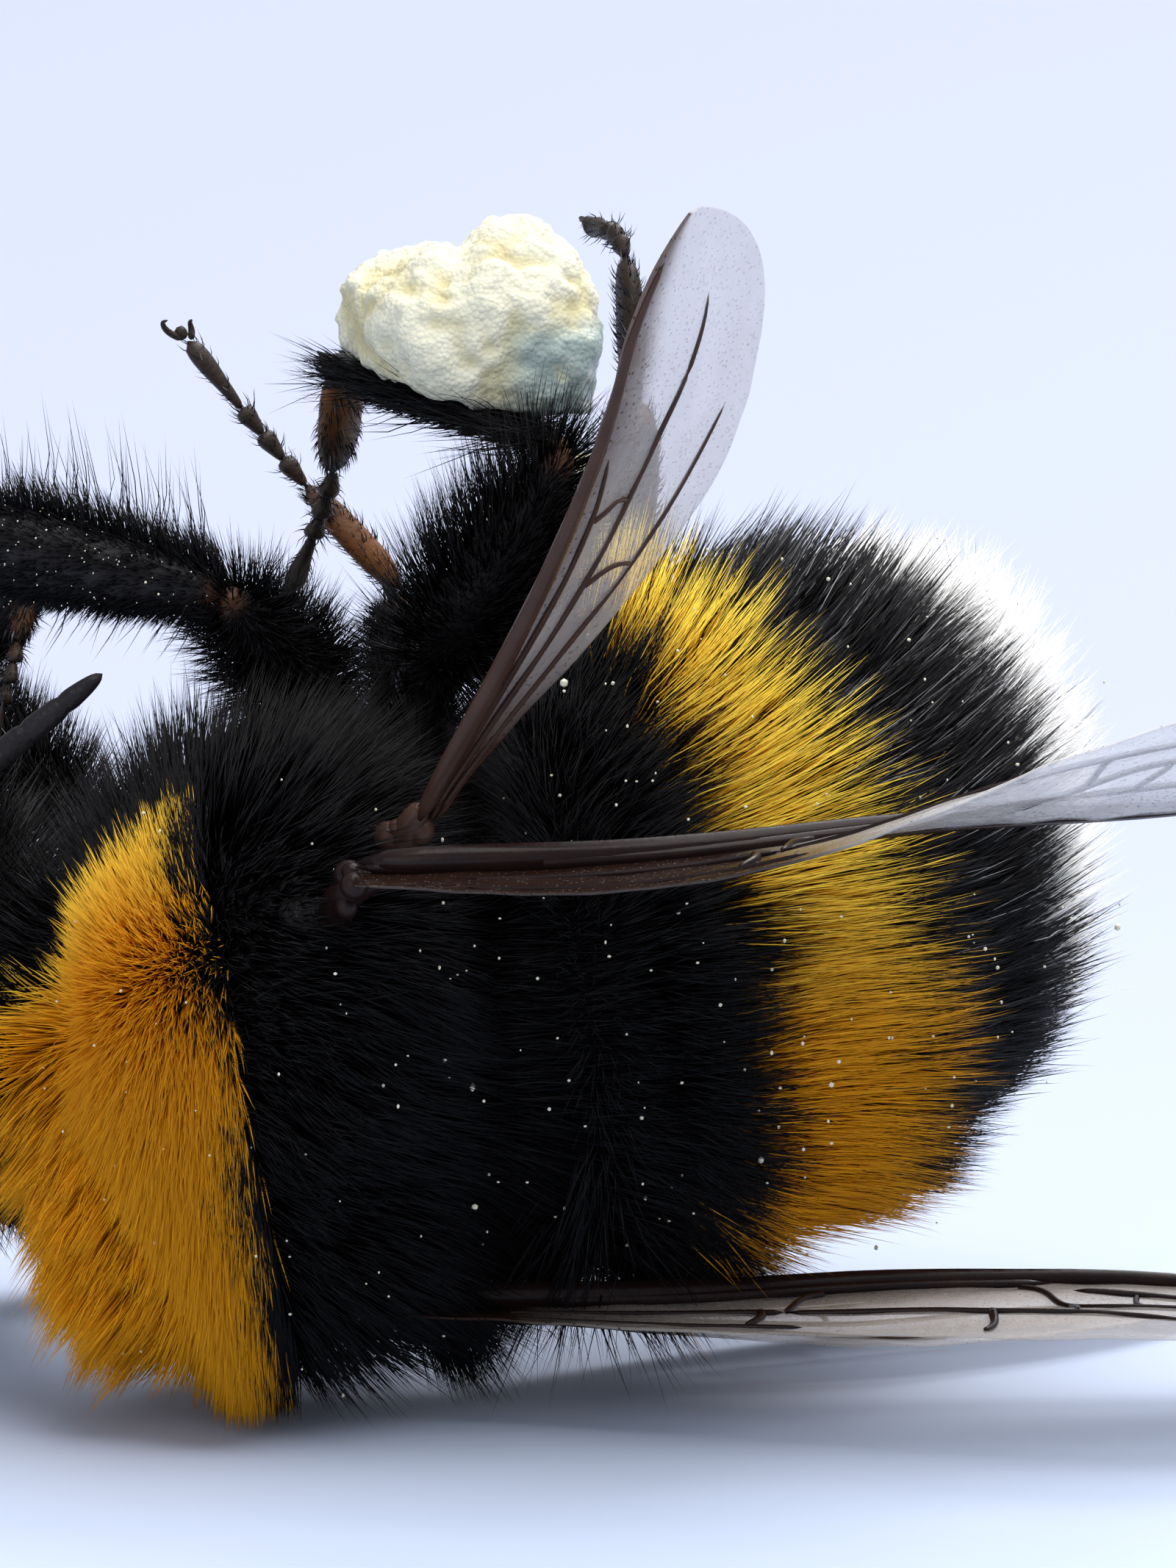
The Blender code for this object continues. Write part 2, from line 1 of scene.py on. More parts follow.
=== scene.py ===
"""A buff-tailed bumblebee worker at life size, lying on its left side, dressed for display.

Pieces are made in millimetres and scaled to metres when they are finished. The head points
along -X, the back faces -Y, the bee's right side is up, and the floor is at z = 0. Angles around
the body are in degrees, 0 on the back and +90 on the bee's right side.
"""

from __future__ import annotations

import logging
import math
from dataclasses import dataclass, field, replace
from enum import Enum
from typing import Callable, Sequence

import bpy
import numpy as np
from mathutils import Matrix, Vector, kdtree, noise


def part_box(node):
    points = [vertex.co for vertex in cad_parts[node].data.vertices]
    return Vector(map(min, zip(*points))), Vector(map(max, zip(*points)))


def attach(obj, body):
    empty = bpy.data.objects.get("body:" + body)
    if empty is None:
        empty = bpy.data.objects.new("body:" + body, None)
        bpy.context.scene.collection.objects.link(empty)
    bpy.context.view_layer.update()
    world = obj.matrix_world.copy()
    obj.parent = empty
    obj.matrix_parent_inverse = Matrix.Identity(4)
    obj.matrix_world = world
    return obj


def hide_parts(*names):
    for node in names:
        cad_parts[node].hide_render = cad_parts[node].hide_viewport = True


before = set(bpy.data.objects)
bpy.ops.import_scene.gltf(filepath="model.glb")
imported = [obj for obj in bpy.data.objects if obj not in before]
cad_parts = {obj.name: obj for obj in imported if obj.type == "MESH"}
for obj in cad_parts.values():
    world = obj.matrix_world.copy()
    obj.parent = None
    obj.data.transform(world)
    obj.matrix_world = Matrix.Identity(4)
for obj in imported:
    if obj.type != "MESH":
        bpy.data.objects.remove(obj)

log = logging.getLogger("bumblebee")

MM = 0.001
BODY = "root"
Array = np.ndarray
Piece = bpy.types.Object
Material = bpy.types.Material
Socket = bpy.types.NodeSocket

SIDES = ("right", "left")
LEGS = tuple(f"{side}_{pair}" for side in SIDES for pair in ("fore", "mid", "hind"))
ABDOMEN = ("abdomen_t1", "abdomen_t2", "abdomen_t3", "abdomen_t4", "abdomen_t5", "abdomen_tip")


class Slot(Enum):
    """The record's material slots."""

    BLACK_COAT = "black_coat"
    YELLOW_COAT = "yellow_coat"
    WHITE_COAT = "white_coat"
    SHELL = "black_shell"
    EYE = "eye"
    WING = "wing"
    FOOT = "brown_foot"
    TONGUE = "amber_tongue"
    POLLEN = "pollen"


class Part(Enum):
    """The three masses of the body that the skin covers."""

    THORAX = 0
    ABDOMEN = 1
    HEAD = 2


# ---------------------------------------------------------------- arithmetic


def unit(vectors: Array) -> Array:
    """The same directions at length one."""
    vectors = np.asarray(vectors, float)
    return vectors / np.maximum(np.linalg.norm(vectors, axis=-1, keepdims=True), 1e-12)


def ease(low: float, high: float, x: Array) -> Array:
    """0 below low, 1 above high, with a smooth rise between."""
    x = np.clip((np.asarray(x, float) - low) / (high - low), 0, 1)
    return x * x * (3 - 2 * x)


def fade(low: float, high: float, x: Array) -> Array:
    """1 below low, 0 above high, with a smooth fall between."""
    return 1 - ease(low, high, x)


def bell(x: Array, middle: Array | float, width: float) -> Array:
    """1 at the middle, falling smoothly away to both sides."""
    return np.exp(-(((x - middle) / width) ** 2))


def spline(knots: Sequence[float], values: Array, at: Array) -> Array:
    """Reads a smooth curve that passes through the values at the knots.

    Args:
        knots: Rising places of the values.
        values: One row for each knot.
        at: Places to read.

    Returns:
        One row for each place, carried on straight beyond the ends.
    """
    knots, values = np.asarray(knots, float), np.asarray(values, float)
    at = np.atleast_1d(np.asarray(at, float))
    slopes = np.gradient(values, knots, axis=0)
    k = np.clip(np.searchsorted(knots, at) - 1, 0, len(knots) - 2)
    span = (knots[k + 1] - knots[k])[:, None]
    x = (at - knots[k])[:, None] / span
    inside = np.clip(x, 0, 1)
    a, b, da, db = values[k], values[k + 1], slopes[k] * span, slopes[k + 1] * span
    curve = (
        a * (2 * inside**3 - 3 * inside**2 + 1)
        + da * (inside**3 - 2 * inside**2 + inside)
        + b * (3 * inside**2 - 2 * inside**3)
        + db * (inside**3 - inside**2)
    )
    return curve + np.where(x < 0, da, db) * (x - inside)


def trace(path: Sequence, at: Array) -> Array:
    """Reads a smooth path, or a row of numbers, that has even steps from 0 to 1."""
    path = np.array(path, float)
    return spline(np.linspace(0, 1, len(path)), path.reshape(len(path), -1), at)


def ripple(points: Array, wavelength: float, seed: int, waves: int = 5) -> Array:
    """A smooth pattern of about -1 to 1 over space, as a sum of crossed waves.

    Args:
        points: Places in space.
        wavelength: About how long a wave is.
        seed: Which pattern.
        waves: How many waves are added up.

    Returns:
        One value for each point.
    """
    random = np.random.default_rng(seed)
    total = np.zeros(len(points))
    for _ in range(waves):
        heading = unit(random.normal(size=3)) * math.tau / (wavelength * random.uniform(0.6, 1.5))
        total += np.sin(points @ heading + random.uniform(0, math.tau))
    return total / waves**0.5


def lumps(points: Array, size: float, seed: int) -> Array:
    """Perlin noise of about -1 to 1 whose lumps have the given size."""
    offset = Vector((seed * 17.3, seed * 5.1, seed * 11.7))
    return np.array([noise.noise(Vector(p) / size + offset) for p in points])


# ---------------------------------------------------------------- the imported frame


def solid(node: str) -> tuple[Array, Array]:
    """A CAD node's corner points in millimetres, merged, and its triangles.

    Args:
        node: The node's name.

    Returns:
        The points, and three of their indices for each triangle.
    """
    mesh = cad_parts[node].data
    points = np.empty(len(mesh.vertices) * 3)
    mesh.vertices.foreach_get("co", points)
    corners = np.empty(len(mesh.loops), int)
    mesh.loops.foreach_get("vertex_index", corners)
    points = np.round(points.reshape(-1, 3) / MM, 4)
    merged, index = np.unique(points, axis=0, return_inverse=True)
    return merged, index.ravel()[corners].reshape(-1, 3)


def box_of(*nodes: str) -> tuple[Array, Array]:
    """The lowest and highest corner of some CAD nodes together, in millimetres.

    Args:
        nodes: The nodes' names.

    Returns:
        The two corners.
    """
    boxes = [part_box(node) for node in nodes]
    low = np.min([np.array(low) for low, _ in boxes], axis=0) / MM
    high = np.max([np.array(high) for _, high in boxes], axis=0) / MM
    return low, high


def middle_of(*nodes: str) -> Array:
    """The middle of the box of some CAD nodes, in millimetres."""
    return np.mean(box_of(*nodes), axis=0)


def flat_faces(node: str) -> tuple[Array, Array, Array, list[list[int]]]:
    """A CAD node's points, triangles and their cross products, and each flat face's triangles.

    Args:
        node: The node's name.

    Returns:
        The four, in that order.
    """
    points, triangles = solid(node)
    a, b, c = (points[triangles[:, k]] for k in range(3))
    cross = np.cross(b - a, c - a)
    faces: dict[tuple, list[int]] = {}
    for k, heading in enumerate(np.round(unit(cross), 2)):
        faces.setdefault(tuple(heading), []).append(k)
    return points, triangles, cross, list(faces.values())


def flat_end(node: str, toward: Array) -> tuple[Array, Array]:
    """The rim of a solid's flat end.

    Args:
        node: The CAD node.
        toward: The side on which the end is.

    Returns:
        The middle of the end, and the points of its rim.
    """
    points, triangles, cross, faces = flat_faces(node)
    ahead = (unit(cross) @ unit(toward)) > 0.7
    largest = max((face for face in faces if ahead[face[0]]), key=len)
    rim = points[np.unique(triangles[largest])]
    return rim.mean(axis=0), rim


def meeting(first: str, second: str, reach: float = 0.3) -> Array:
    """Where two neighbouring solids meet: the middle of their facing rims.

    Args:
        first: One node.
        second: The other.
        reach: How much wider than the narrowest gap still counts as the rim, in mm.

    Returns:
        The middle.
    """
    a, b = solid(first)[0], solid(second)[0]
    gaps = np.linalg.norm(a[:, None] - b[None], axis=2)
    i, j = np.nonzero(gaps < gaps.min() + reach)
    return (a[np.unique(i)].mean(axis=0) + b[np.unique(j)].mean(axis=0)) / 2


def far_end(node: str, start: Array, reach: float = 0.35) -> Array:
    """The middle of the end of a solid that is furthest from a start point."""
    points = solid(node)[0]
    away = np.linalg.norm(points - start, axis=1)
    return points[away > away.max() - reach].mean(axis=0)


@dataclass
class AbdomenAxis:
    """The curled axis of the abdomen, read from the capped ends of its segments."""

    waist_reach: float = 2.25  # from the waist to the end of the first segment
    knots: Array = field(init=False)
    centres: Array = field(init=False)
    axes: Array = field(init=False)
    backs: Array = field(init=False)
    widths: Array = field(init=False)

    def __post_init__(self) -> None:
        """Reads one station at the rear of each segment, and adds one at the waist."""
        middles = [middle_of(node) for node in ABDOMEN]
        centres, axes, backs, widths = [], [], [], []
        back = np.array([0.0, -1.0, 0.0])
        for k, node in enumerate(ABDOMEN):
            onward = middles[min(k + 1, 5)] - middles[max(k - 1, 0)]
            hub, rim = flat_end(node, onward)
            _, _, principal = np.linalg.svd(rim - hub)
            normal = principal[2] * np.sign(principal[2] @ onward)
            across = principal[0]
            side = np.cross(normal, across)
            back = side * np.sign(side @ back)
            centres.append(hub)
            axes.append(normal)
            backs.append(back)
            widths.append(np.abs((rim - hub) @ across).max())
        first = unit(axes[0] - 0.8 * (axes[1] - axes[0]))
        centres.insert(0, centres[0] - first * self.waist_reach)
        axes.insert(0, unit(axes[0] - (axes[1] - axes[0])))
        backs.insert(0, unit(backs[0] - (backs[1] - backs[0])))
        widths.insert(0, widths[0] * 0.55)
        steps = np.linalg.norm(np.diff(centres, axis=0), axis=1)
        self.knots = np.concatenate([[0], np.cumsum(steps)])
        self.centres, self.axes = np.array(centres), np.array(axes)
        self.backs, self.widths = np.array(backs), np.array(widths)

    def at(self, s: Array) -> tuple[Array, Array, Array]:
        """The centre, direction and back side at distances s from the waist.

        Args:
            s: The distances, in mm.

        Returns:
            The centres, and the two directions there.
        """
        centre = spline(self.knots, self.centres, s)
        axis = unit(spline(self.knots, self.axes, s))
        back = spline(self.knots, self.backs, s)
        back = unit(back - axis * np.sum(back * axis, axis=1, keepdims=True))
        return centre, axis, back

    def place(self, points: Array) -> tuple[Array, Array]:
        """How far along the axis points lie, and their angle from the back.

        Args:
            points: Points on or near the abdomen.

        Returns:
            Distances from the waist, and angles in degrees, 0 on the back and +90 on the
            bee's right side.
        """
        fine = np.linspace(-0.6, self.knots[-1] + 0.3, 140)
        centre, axis, _ = self.at(fine)
        nearest = np.empty(len(points), int)
        for start in range(0, len(points), 20000):
            block = slice(start, start + 20000)
            gaps = np.linalg.norm(points[block, None] - centre[None], axis=2)
            nearest[block] = gaps.argmin(axis=1)
        s = fine[nearest] + np.sum((points - centre[nearest]) * axis[nearest], axis=1)
        centre, axis, back = self.at(s)
        right = np.cross(axis, -back)
        reach = points - centre
        turn = np.arctan2(np.sum(reach * right, axis=1), np.sum(reach * back, axis=1))
        return s, np.degrees(turn)


@dataclass
class BodyPlan:
    """Where the masses of the body are, read from the frame."""

    abdomen: AbdomenAxis = field(default_factory=AbdomenAxis)

    def __post_init__(self) -> None:
        """Reads the thorax, the plane behind the collar and the head's own axes."""
        low, high = box_of("thorax", "collar")
        self.thorax = (low + high) / 2
        self.thorax_half = (high - low) / 2
        self.collar_edge, self.collar_normal = self._cut_plane("collar")
        crown, _ = flat_end("head", np.array([0, -1, 0]))
        mouth, _ = flat_end("head", np.array([0, 1, 0]))
        self.head = (crown + mouth) / 2
        self.face_length = np.linalg.norm(mouth - crown)
        self.down = unit(mouth - crown)
        across = middle_of("eye_right") - middle_of("eye_left")
        self.across = unit(across - self.down * (across @ self.down))
        self.ahead = np.cross(self.across, self.down)
        self.eye_half_span = np.linalg.norm(across) / 2

    @staticmethod
    def _cut_plane(node: str) -> tuple[Array, Array]:
        """A point and the outward normal of the largest flat face of a solid.

        Args:
            node: The solid.

        Returns:
            The point and the normal.
        """
        points, triangles, cross, faces = flat_faces(node)
        area = np.linalg.norm(cross, axis=1)
        widest = max(faces, key=lambda face: area[face].sum())
        return points[triangles[widest].ravel()].mean(axis=0), unit(cross[widest].sum(axis=0))

    def in_head(self, points: Array) -> Array:
        """Points in the head's own axes: ahead out of the face, down it and across it."""
        axes = np.array([self.ahead, self.down, self.across])
        return (np.asarray(points, float) - self.head) @ axes.T

    def from_head(self, ahead: float, down: float, across: float) -> Array:
        """The place of a point given in the head's own axes."""
        return self.head + self.ahead * ahead + self.down * down + self.across * across

    def thorax_turn(self, points: Array) -> Array:
        """The angle around the thorax in degrees, 0 on the back and +90 on the bee's right."""
        reach = points - self.thorax
        return np.degrees(np.arctan2(reach[:, 2], -reach[:, 1]))


@dataclass(frozen=True)
class Markings:
    """The bands of colour that the skin and the coat share; lengths in mm, angles in degrees."""

    collar_right: float = 64.0  # where the collar ends on the bee's right flank
    collar_left: float = -104.0
    collar_edge: tuple = (-0.14, -0.088, -0.027)  # the collar's rear edge against its solid's, by height
    band_shift: float = 0.72  # hair roots lie this far ahead of where their tips show
    gold_front: float = 0.36  # the same at the golden band's front edge, which recedes on the flank
    gold_recede: float = 0.45
    gold_dip: float = 0.32  # how far it recedes on the middle of the back
    gold_low: float = 0.48  # how far it reaches forward on the left flank
    white_high: float = 0.62  # how far the white recedes on the right flank
    belly_turn: float = 122.0  # the golden band fades at this angle from the back
    ragged: float = 0.10

    def behind_collar(self, plan: BodyPlan, points: Array) -> Array:
        """How far points lie behind the collar's rear edge.

        Args:
            plan: Where the body lies.
            points: The points.

        Returns:
            The distances in mm, less than zero on the collar.
        """
        behind = (points - plan.collar_edge) @ plan.collar_normal
        even, tilt, bow = self.collar_edge
        height = points[:, 2] - plan.thorax[2]
        return behind + even + tilt * height + bow * height**2

    def bands(self, plan: BodyPlan, part: Part, points: Array, ragged: float = 0.0) -> Array:
        """How yellow and how white the hair is that grows at some points.

        Args:
            plan: The places of the body's masses.
            part: The mass that the points are on.
            points: Points on the skin.
            ragged: How far the bands' edges are scattered, in mm.

        Returns:
            One row for each point: shares of yellow and of white, and how pale the hair is. The paleness is
                painted light: paler on the upper side, where the light falls from above.
        """
        marks = np.zeros((len(points), 3))
        edge = ripple(points, 0.9, 3) * self.ragged
        if ragged:
            edge = edge + np.random.default_rng(len(points)).normal(0, ragged, len(points))
        if part is Part.THORAX:
            behind = self.behind_collar(plan, points) + edge
            turn = plan.thorax_turn(points) + edge * 25
            sides = ease(self.collar_left - 8, self.collar_left + 8, turn)
            sides *= 1 - ease(self.collar_right - 7, self.collar_right + 7, turn)
            marks[:, 0] = fade(-0.12, 0.16, behind) * sides
            # Painted light: the collar's hair is paler towards the upper side, where the light falls from
            # above, and a little paler at its front.
            marks[:, 2] = 0.03 + 0.25 * fade(-1.6, -0.9, behind) + 0.6 * ease(40, 62, turn)
        if part is Part.ABDOMEN:
            s, turn = plan.abdomen.place(points)
            front = s + edge + self.gold_front - self.gold_recede * ease(35, 80, turn)
            front -= self.gold_dip * bell(turn, 12, 25)
            front += self.gold_low * fade(-72, -35, turn) * ease(-98, -80, turn)
            tail = s + edge + self.band_shift - self.white_high * ease(0, 55, turn)
            s = s + edge + self.band_shift
            ends = plan.abdomen.knots
            belly = 1 - ease(self.belly_turn - 12, self.belly_turn + 12, np.abs(turn - 18 + edge * 20))
            gold = ease(ends[1] - 0.10, ends[1] + 0.10, front)
            gold *= 1 - ease(ends[2] - 0.10, ends[2] + 0.10, s)
            white = ease(ends[3] - 0.12, ends[3] + 0.12, tail)
            marks[:, 0] = gold * belly
            marks[:, 1] = white * (0.35 + 0.65 * belly)
            # Painted light: paler towards the upper side, where the light falls from above.
            marks[:, 2] = 0.05 + 0.95 * ease(-35, 45, turn)
        return marks


# ---------------------------------------------------------------- modelling


def deselect() -> None:
    """Leaves nothing selected, because an operator acts on all that is."""
    bpy.ops.object.select_all(action="DESELECT")


def activate(piece: Piece) -> None:
    """Makes one piece the selected and active one."""
    deselect()
    piece.select_set(True)
    bpy.context.view_layer.objects.active = piece


def modify(piece: Piece, kind: str, **settings: object) -> None:
    """Adds a modifier with its settings and applies it.

    Args:
        piece: The piece.
        kind: The modifier's type.
        settings: What is set on it.
    """
    activate(piece)
    step = piece.modifiers.new(kind.title(), kind)
    for name, value in settings.items():
        setattr(step, name, value)
    bpy.ops.object.modifier_apply(modifier=step.name)


def points_of(piece: Piece) -> Array:
    """The vertices of a piece."""
    points = np.empty(len(piece.data.vertices) * 3, np.float32)
    piece.data.vertices.foreach_get("co", points)
    return points.reshape(-1, 3).astype(float)


def normals_of(piece: Piece) -> Array:
    """The vertex normals of a piece."""
    normals = np.empty(len(piece.data.vertices) * 3, np.float32)
    piece.data.vertex_normals.foreach_get("vector", normals)
    return normals.reshape(-1, 3).astype(float)


def move_to(piece: Piece, points: Array) -> None:
    """Puts the vertices of a piece at new places."""
    piece.data.vertices.foreach_set("co", np.ascontiguousarray(points, np.float32).ravel())
    piece.data.update()


def tree_of(points: Array, order: Sequence[int]) -> kdtree.KDTree:
    """A search tree of the points at some indices.

    Args:
        points: All the points.
        order: Indices of those that go into the tree.

    Returns:
        The tree, which gives these indices back.
    """
    tree = kdtree.KDTree(len(order))
    for i in order:
        tree.insert(points[i], int(i))
    tree.balance()
    return tree


def from_arrays(name: str, points: Array, faces: Array) -> Piece:
    """A mesh object from points and from faces that all have the same number of corners.

    Args:
        name: The object's name.
        points: Its points.
        faces: One row of corners each.

    Returns:
        The object.
    """
    mesh = bpy.data.meshes.new(name)
    mesh.vertices.add(len(points))
    mesh.vertices.foreach_set("co", np.ascontiguousarray(points, np.float32).ravel())
    mesh.loops.add(faces.size)
    mesh.loops.foreach_set("vertex_index", np.ascontiguousarray(faces, np.int32).ravel())
    mesh.polygons.add(len(faces))
    mesh.polygons.foreach_set("loop_start", np.arange(0, faces.size, faces.shape[1], dtype=np.int32))
    mesh.update(calc_edges=True)
    piece = bpy.data.objects.new(name, mesh)
    bpy.context.scene.collection.objects.link(piece)
    return piece


def copy_of(name: str, *nodes: str) -> Piece:
    """A merged copy of some CAD nodes as one object, in millimetres.

    Args:
        name: The copy's name.
        nodes: The nodes that it takes in.

    Returns:
        The copy.
    """
    points, faces, count = [], [], 0
    for node in nodes:
        corners, triangles = solid(node)
        points.append(corners)
        faces.append(triangles + count)
        count += len(corners)
    return from_arrays(name, np.vstack(points), np.vstack(faces))


def ball(name: str, segments: int = 24, rings: int = 16) -> Piece:
    """A round primitive of radius one, ready to be shaped.

    Blender orders its faces anew in each run. They are put in one order here, so that hair that is
    scattered on a shape made from it lies the same each time.

    Args:
        segments: Faces around.
        rings: Faces from pole to pole.

    Returns:
        The ball, in mm.
    """
    deselect()
    bpy.ops.mesh.primitive_uv_sphere_add(segments=segments, ring_count=rings, radius=1.0)
    piece = bpy.context.object
    piece.name = name
    points = points_of(piece)
    faces = [tuple(face.vertices) for face in piece.data.polygons]
    starts = [face.index(min(face)) for face in faces]
    piece.data.clear_geometry()
    piece.data.from_pydata(points, [], sorted(face[k:] + face[:k] for face, k in zip(faces, starts)))
    return piece

def join(name: str, pieces: Sequence[Piece]) -> Piece:
    """Joins pieces into the first of them.

    Args:
        name: What the result is called.
        pieces: The pieces.

    Returns:
        The first of them, with all the rest.
    """
    deselect()
    for piece in pieces:
        piece.select_set(True)
    bpy.context.view_layer.objects.active = pieces[0]
    if len(pieces) > 1:
        bpy.ops.object.join()
    pieces[0].name = name
    return pieces[0]


def keep_above(piece: Piece, height: float) -> Array:
    """Lifts the lowest vertices to a height over the floor, and gives all of them.

    Args:
        piece: The piece.
        height: The height, in mm.

    Returns:
        The piece's points.
    """
    points = points_of(piece)
    points[:, 2] = np.maximum(points[:, 2], height)
    move_to(piece, points)
    return points


def note(piece: Piece, name: str, values: Array) -> None:
    """Stores three numbers at each vertex, for the materials to read."""
    layer = piece.data.attributes.new(name, "FLOAT_VECTOR", "POINT")
    layer.data.foreach_set("vector", np.ascontiguousarray(values, np.float32).ravel())


def finish(name: str, pieces: Sequence[Piece], material: Material, slot: Slot, *nodes: str) -> None:
    """Joins pieces, scales them to metres, dresses them and puts them on the body.

    Args:
        name: The name of the whole.
        pieces: The modelled pieces, in millimetres.
        material: Their finish.
        slot: Not used.
        *nodes: The CAD nodes that they stand for.
    """
    piece = join(name, pieces)
    piece.data.transform(Matrix.Scale(MM, 4))
    piece.data.shade_smooth()
    piece.data.materials.clear()
    piece.data.materials.append(material)
    piece.data.name = piece.name
    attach(piece, BODY)
    if nodes:
        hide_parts(*nodes)
    log.info("%s: %d faces", piece.name, len(piece.data.polygons))


@dataclass
class Limb:
    """A round-ended rod along a path, flattened as needed: a leg segment, a claw, a feeler ring.

    It starts as a round primitive, whose rings are strung along the path.
    """

    name: str
    path: Sequence
    broad: Sequence[float]  # half width at even steps along the path
    thin: Sequence[float] | None = None  # half thickness, the same as broad where None
    broad_way: Array | None = None
    segments: int = 14
    rings: int = 16
    blunt: float = 5.0  # how square the ends are
    dish: float = 0.0  # how deep the outer face is hollowed, as a share of its thickness
    joints: int = 0  # rings that fine grooves mark off
    groove: float = 0.16  # how deep those are, as a share of the thickness
    step: float = 0.02  # share of the path over which its heading is read

    def build(self) -> Piece:
        """Makes the rod, and notes its length share and angle at each vertex.

        Returns:
            The rod.
        """
        piece = ball(self.name, self.segments, self.rings)
        start = points_of(piece)
        along = np.arccos(np.clip(-start[:, 2], -1, 1)) / math.pi
        turn = np.arctan2(start[:, 1], start[:, 0])
        heading = unit(trace(self.path, along + self.step) - trace(self.path, along - self.step))
        way = np.array([0.31, -0.42, 0.85]) if self.broad_way is None else self.broad_way
        wide = unit(way - heading * (heading @ way)[:, None])
        flat = np.cross(heading, wide)
        width = trace(self.broad, along)
        thick = width if self.thin is None else trace(self.thin, along)
        cap = np.clip(1 - np.abs(2 * along - 1) ** self.blunt, 0, 1)[:, None] ** 0.5
        if self.joints:
            phase = along[:, None] * self.joints
            cap = cap * (1 - self.groove * bell(phase, np.round(phase), 0.10))
        across, out = np.cos(turn)[:, None], np.sin(turn)[:, None]
        out = out * (1 - self.dish * np.clip(out, 0, 1) * (1 - across**2) ** 0.5)
        move_to(piece, trace(self.path, along) + (wide * across * width + flat * out * thick) * cap)
        note(piece, "limb", np.column_stack([along, np.cos(turn), np.sin(turn)]))
        return piece


# ---------------------------------------------------------------- finishes


class Graph:
    """The node tree of one material, with short calls for the nodes that it needs."""

    def __init__(self, name: str, roughness: float = 0.5, **even: object) -> None:
        """Starts a material.

        Args:
            name: The material's name.
            roughness: The shader's even roughness.
            **even: Other even values of the shader, named with underscores.
        """
        self.material = bpy.data.materials.new(name)
        self.material.use_nodes = True
        self.tree = self.material.node_tree
        self.shader = self.tree.nodes["Principled BSDF"]
        for socket, value in {"Roughness": roughness, **even}.items():
            self.shader.inputs[socket.replace("_", " ")].default_value = value

    def finish(self, **sockets: Socket) -> Material:
        """Links sockets to the shader's inputs, named with underscores."""
        for name, socket in sockets.items():
            self.tree.links.new(socket, self.shader.inputs[name.replace("_", " ")])
        return self.material

    def node(self, kind: str, inputs: dict, output: str | int, **settings: object) -> Socket:
        """Adds a node.

        Args:
            kind: Its type, without the usual start of the name.
            inputs: A socket or a plain value for each input.
            output: The output that is wanted.
            **settings: The node's own settings.

        Returns:
            That output.
        """
        node = self.tree.nodes.new(f"ShaderNode{kind}")
        for name, value in settings.items():
            setattr(node, name, value)
        for name, value in inputs.items():
            if isinstance(value, Socket):
                self.tree.links.new(value, node.inputs[name])
            else:
                node.inputs[name].default_value = value
        return node.outputs[output]

    def place(self) -> Socket:
        """Object coordinates in millimetres."""
        source = self.node("TexCoord", {}, "Object")
        return self.node("Mapping", {"Vector": source, "Scale": (1 / MM,) * 3}, "Vector")

    def parts(self, vector: Socket) -> tuple[Socket, ...]:
        """The three numbers of a vector."""
        return tuple(self.node("SeparateXYZ", {"Vector": vector}, 0).node.outputs)

    def attribute(self, name: str) -> tuple[Socket, ...]:
        """The three numbers that are stored at the vertices under a name."""
        return self.parts(self.node("Attribute", {}, "Vector", attribute_name=name))

    def noise(self, size: float) -> Socket:
        """Cloudy noise, 0 to 1, whose clouds have a size in millimetres."""
        inputs = {"Vector": self.place(), "Scale": 1 / size, "Detail": 3.0, "Roughness": 0.55}
        return self.node("TexNoise", inputs, "Fac")

    def cells(self, size: float, spread: float = 1.0) -> Socket:
        """Distance from the middle of cells with a size in millimetres."""
        inputs = {"Vector": self.place(), "Scale": 1 / size, "Randomness": spread}
        return self.node("TexVoronoi", inputs, "Distance")

    def math(self, operation: str, *values: object, clamp: bool = False) -> Socket:
        """One step of arithmetic."""
        return self.node("Math", dict(enumerate(values)), 0, operation=operation, use_clamp=clamp)

    def plus(self, a: object, b: object, clamp: bool = False) -> Socket:
        """The sum of two values."""
        return self.math("ADD", a, b, clamp=clamp)

    def times(self, a: object, b: object, clamp: bool = False) -> Socket:
        """The product of two values."""
        return self.math("MULTIPLY", a, b, clamp=clamp)

    def span(self, value: object, low: float, high: float, a: float = 0.0, b: float = 1.0) -> Socket:
        """Maps low to high onto a to b, smoothly and with both ends held."""
        inputs = dict(enumerate((value, low, high, a, b)))
        return self.node("MapRange", inputs, "Result", interpolation_type="SMOOTHSTEP")

    def mix(self, share: object, a: object, b: object) -> Socket:
        """A colour between a and b."""
        a, b = (colour if isinstance(colour, Socket) else (*colour, 1.0) for colour in (a, b))
        return self.node("Mix", {0: share, 6: a, 7: b}, 2, data_type="RGBA")

    def mottle(self, size: float, a: tuple, b: tuple) -> Socket:
        """Two colours in clouds of a size in millimetres."""
        return self.mix(self.noise(size), a, b)

    def sheen(self, size: float, low: float, high: float) -> Socket:
        """A roughness that varies between low and high in clouds of a size in millimetres."""
        return self.span(self.noise(size), 0.3, 0.7, low, high)

    def bump(self, height: object, depth: float, strength: float = 1.0) -> Socket:
        """The normal of a surface that is raised by height times a depth in millimetres."""
        return self.node("Bump", {"Strength": strength, "Distance": depth * MM, "Height": height}, "Normal")


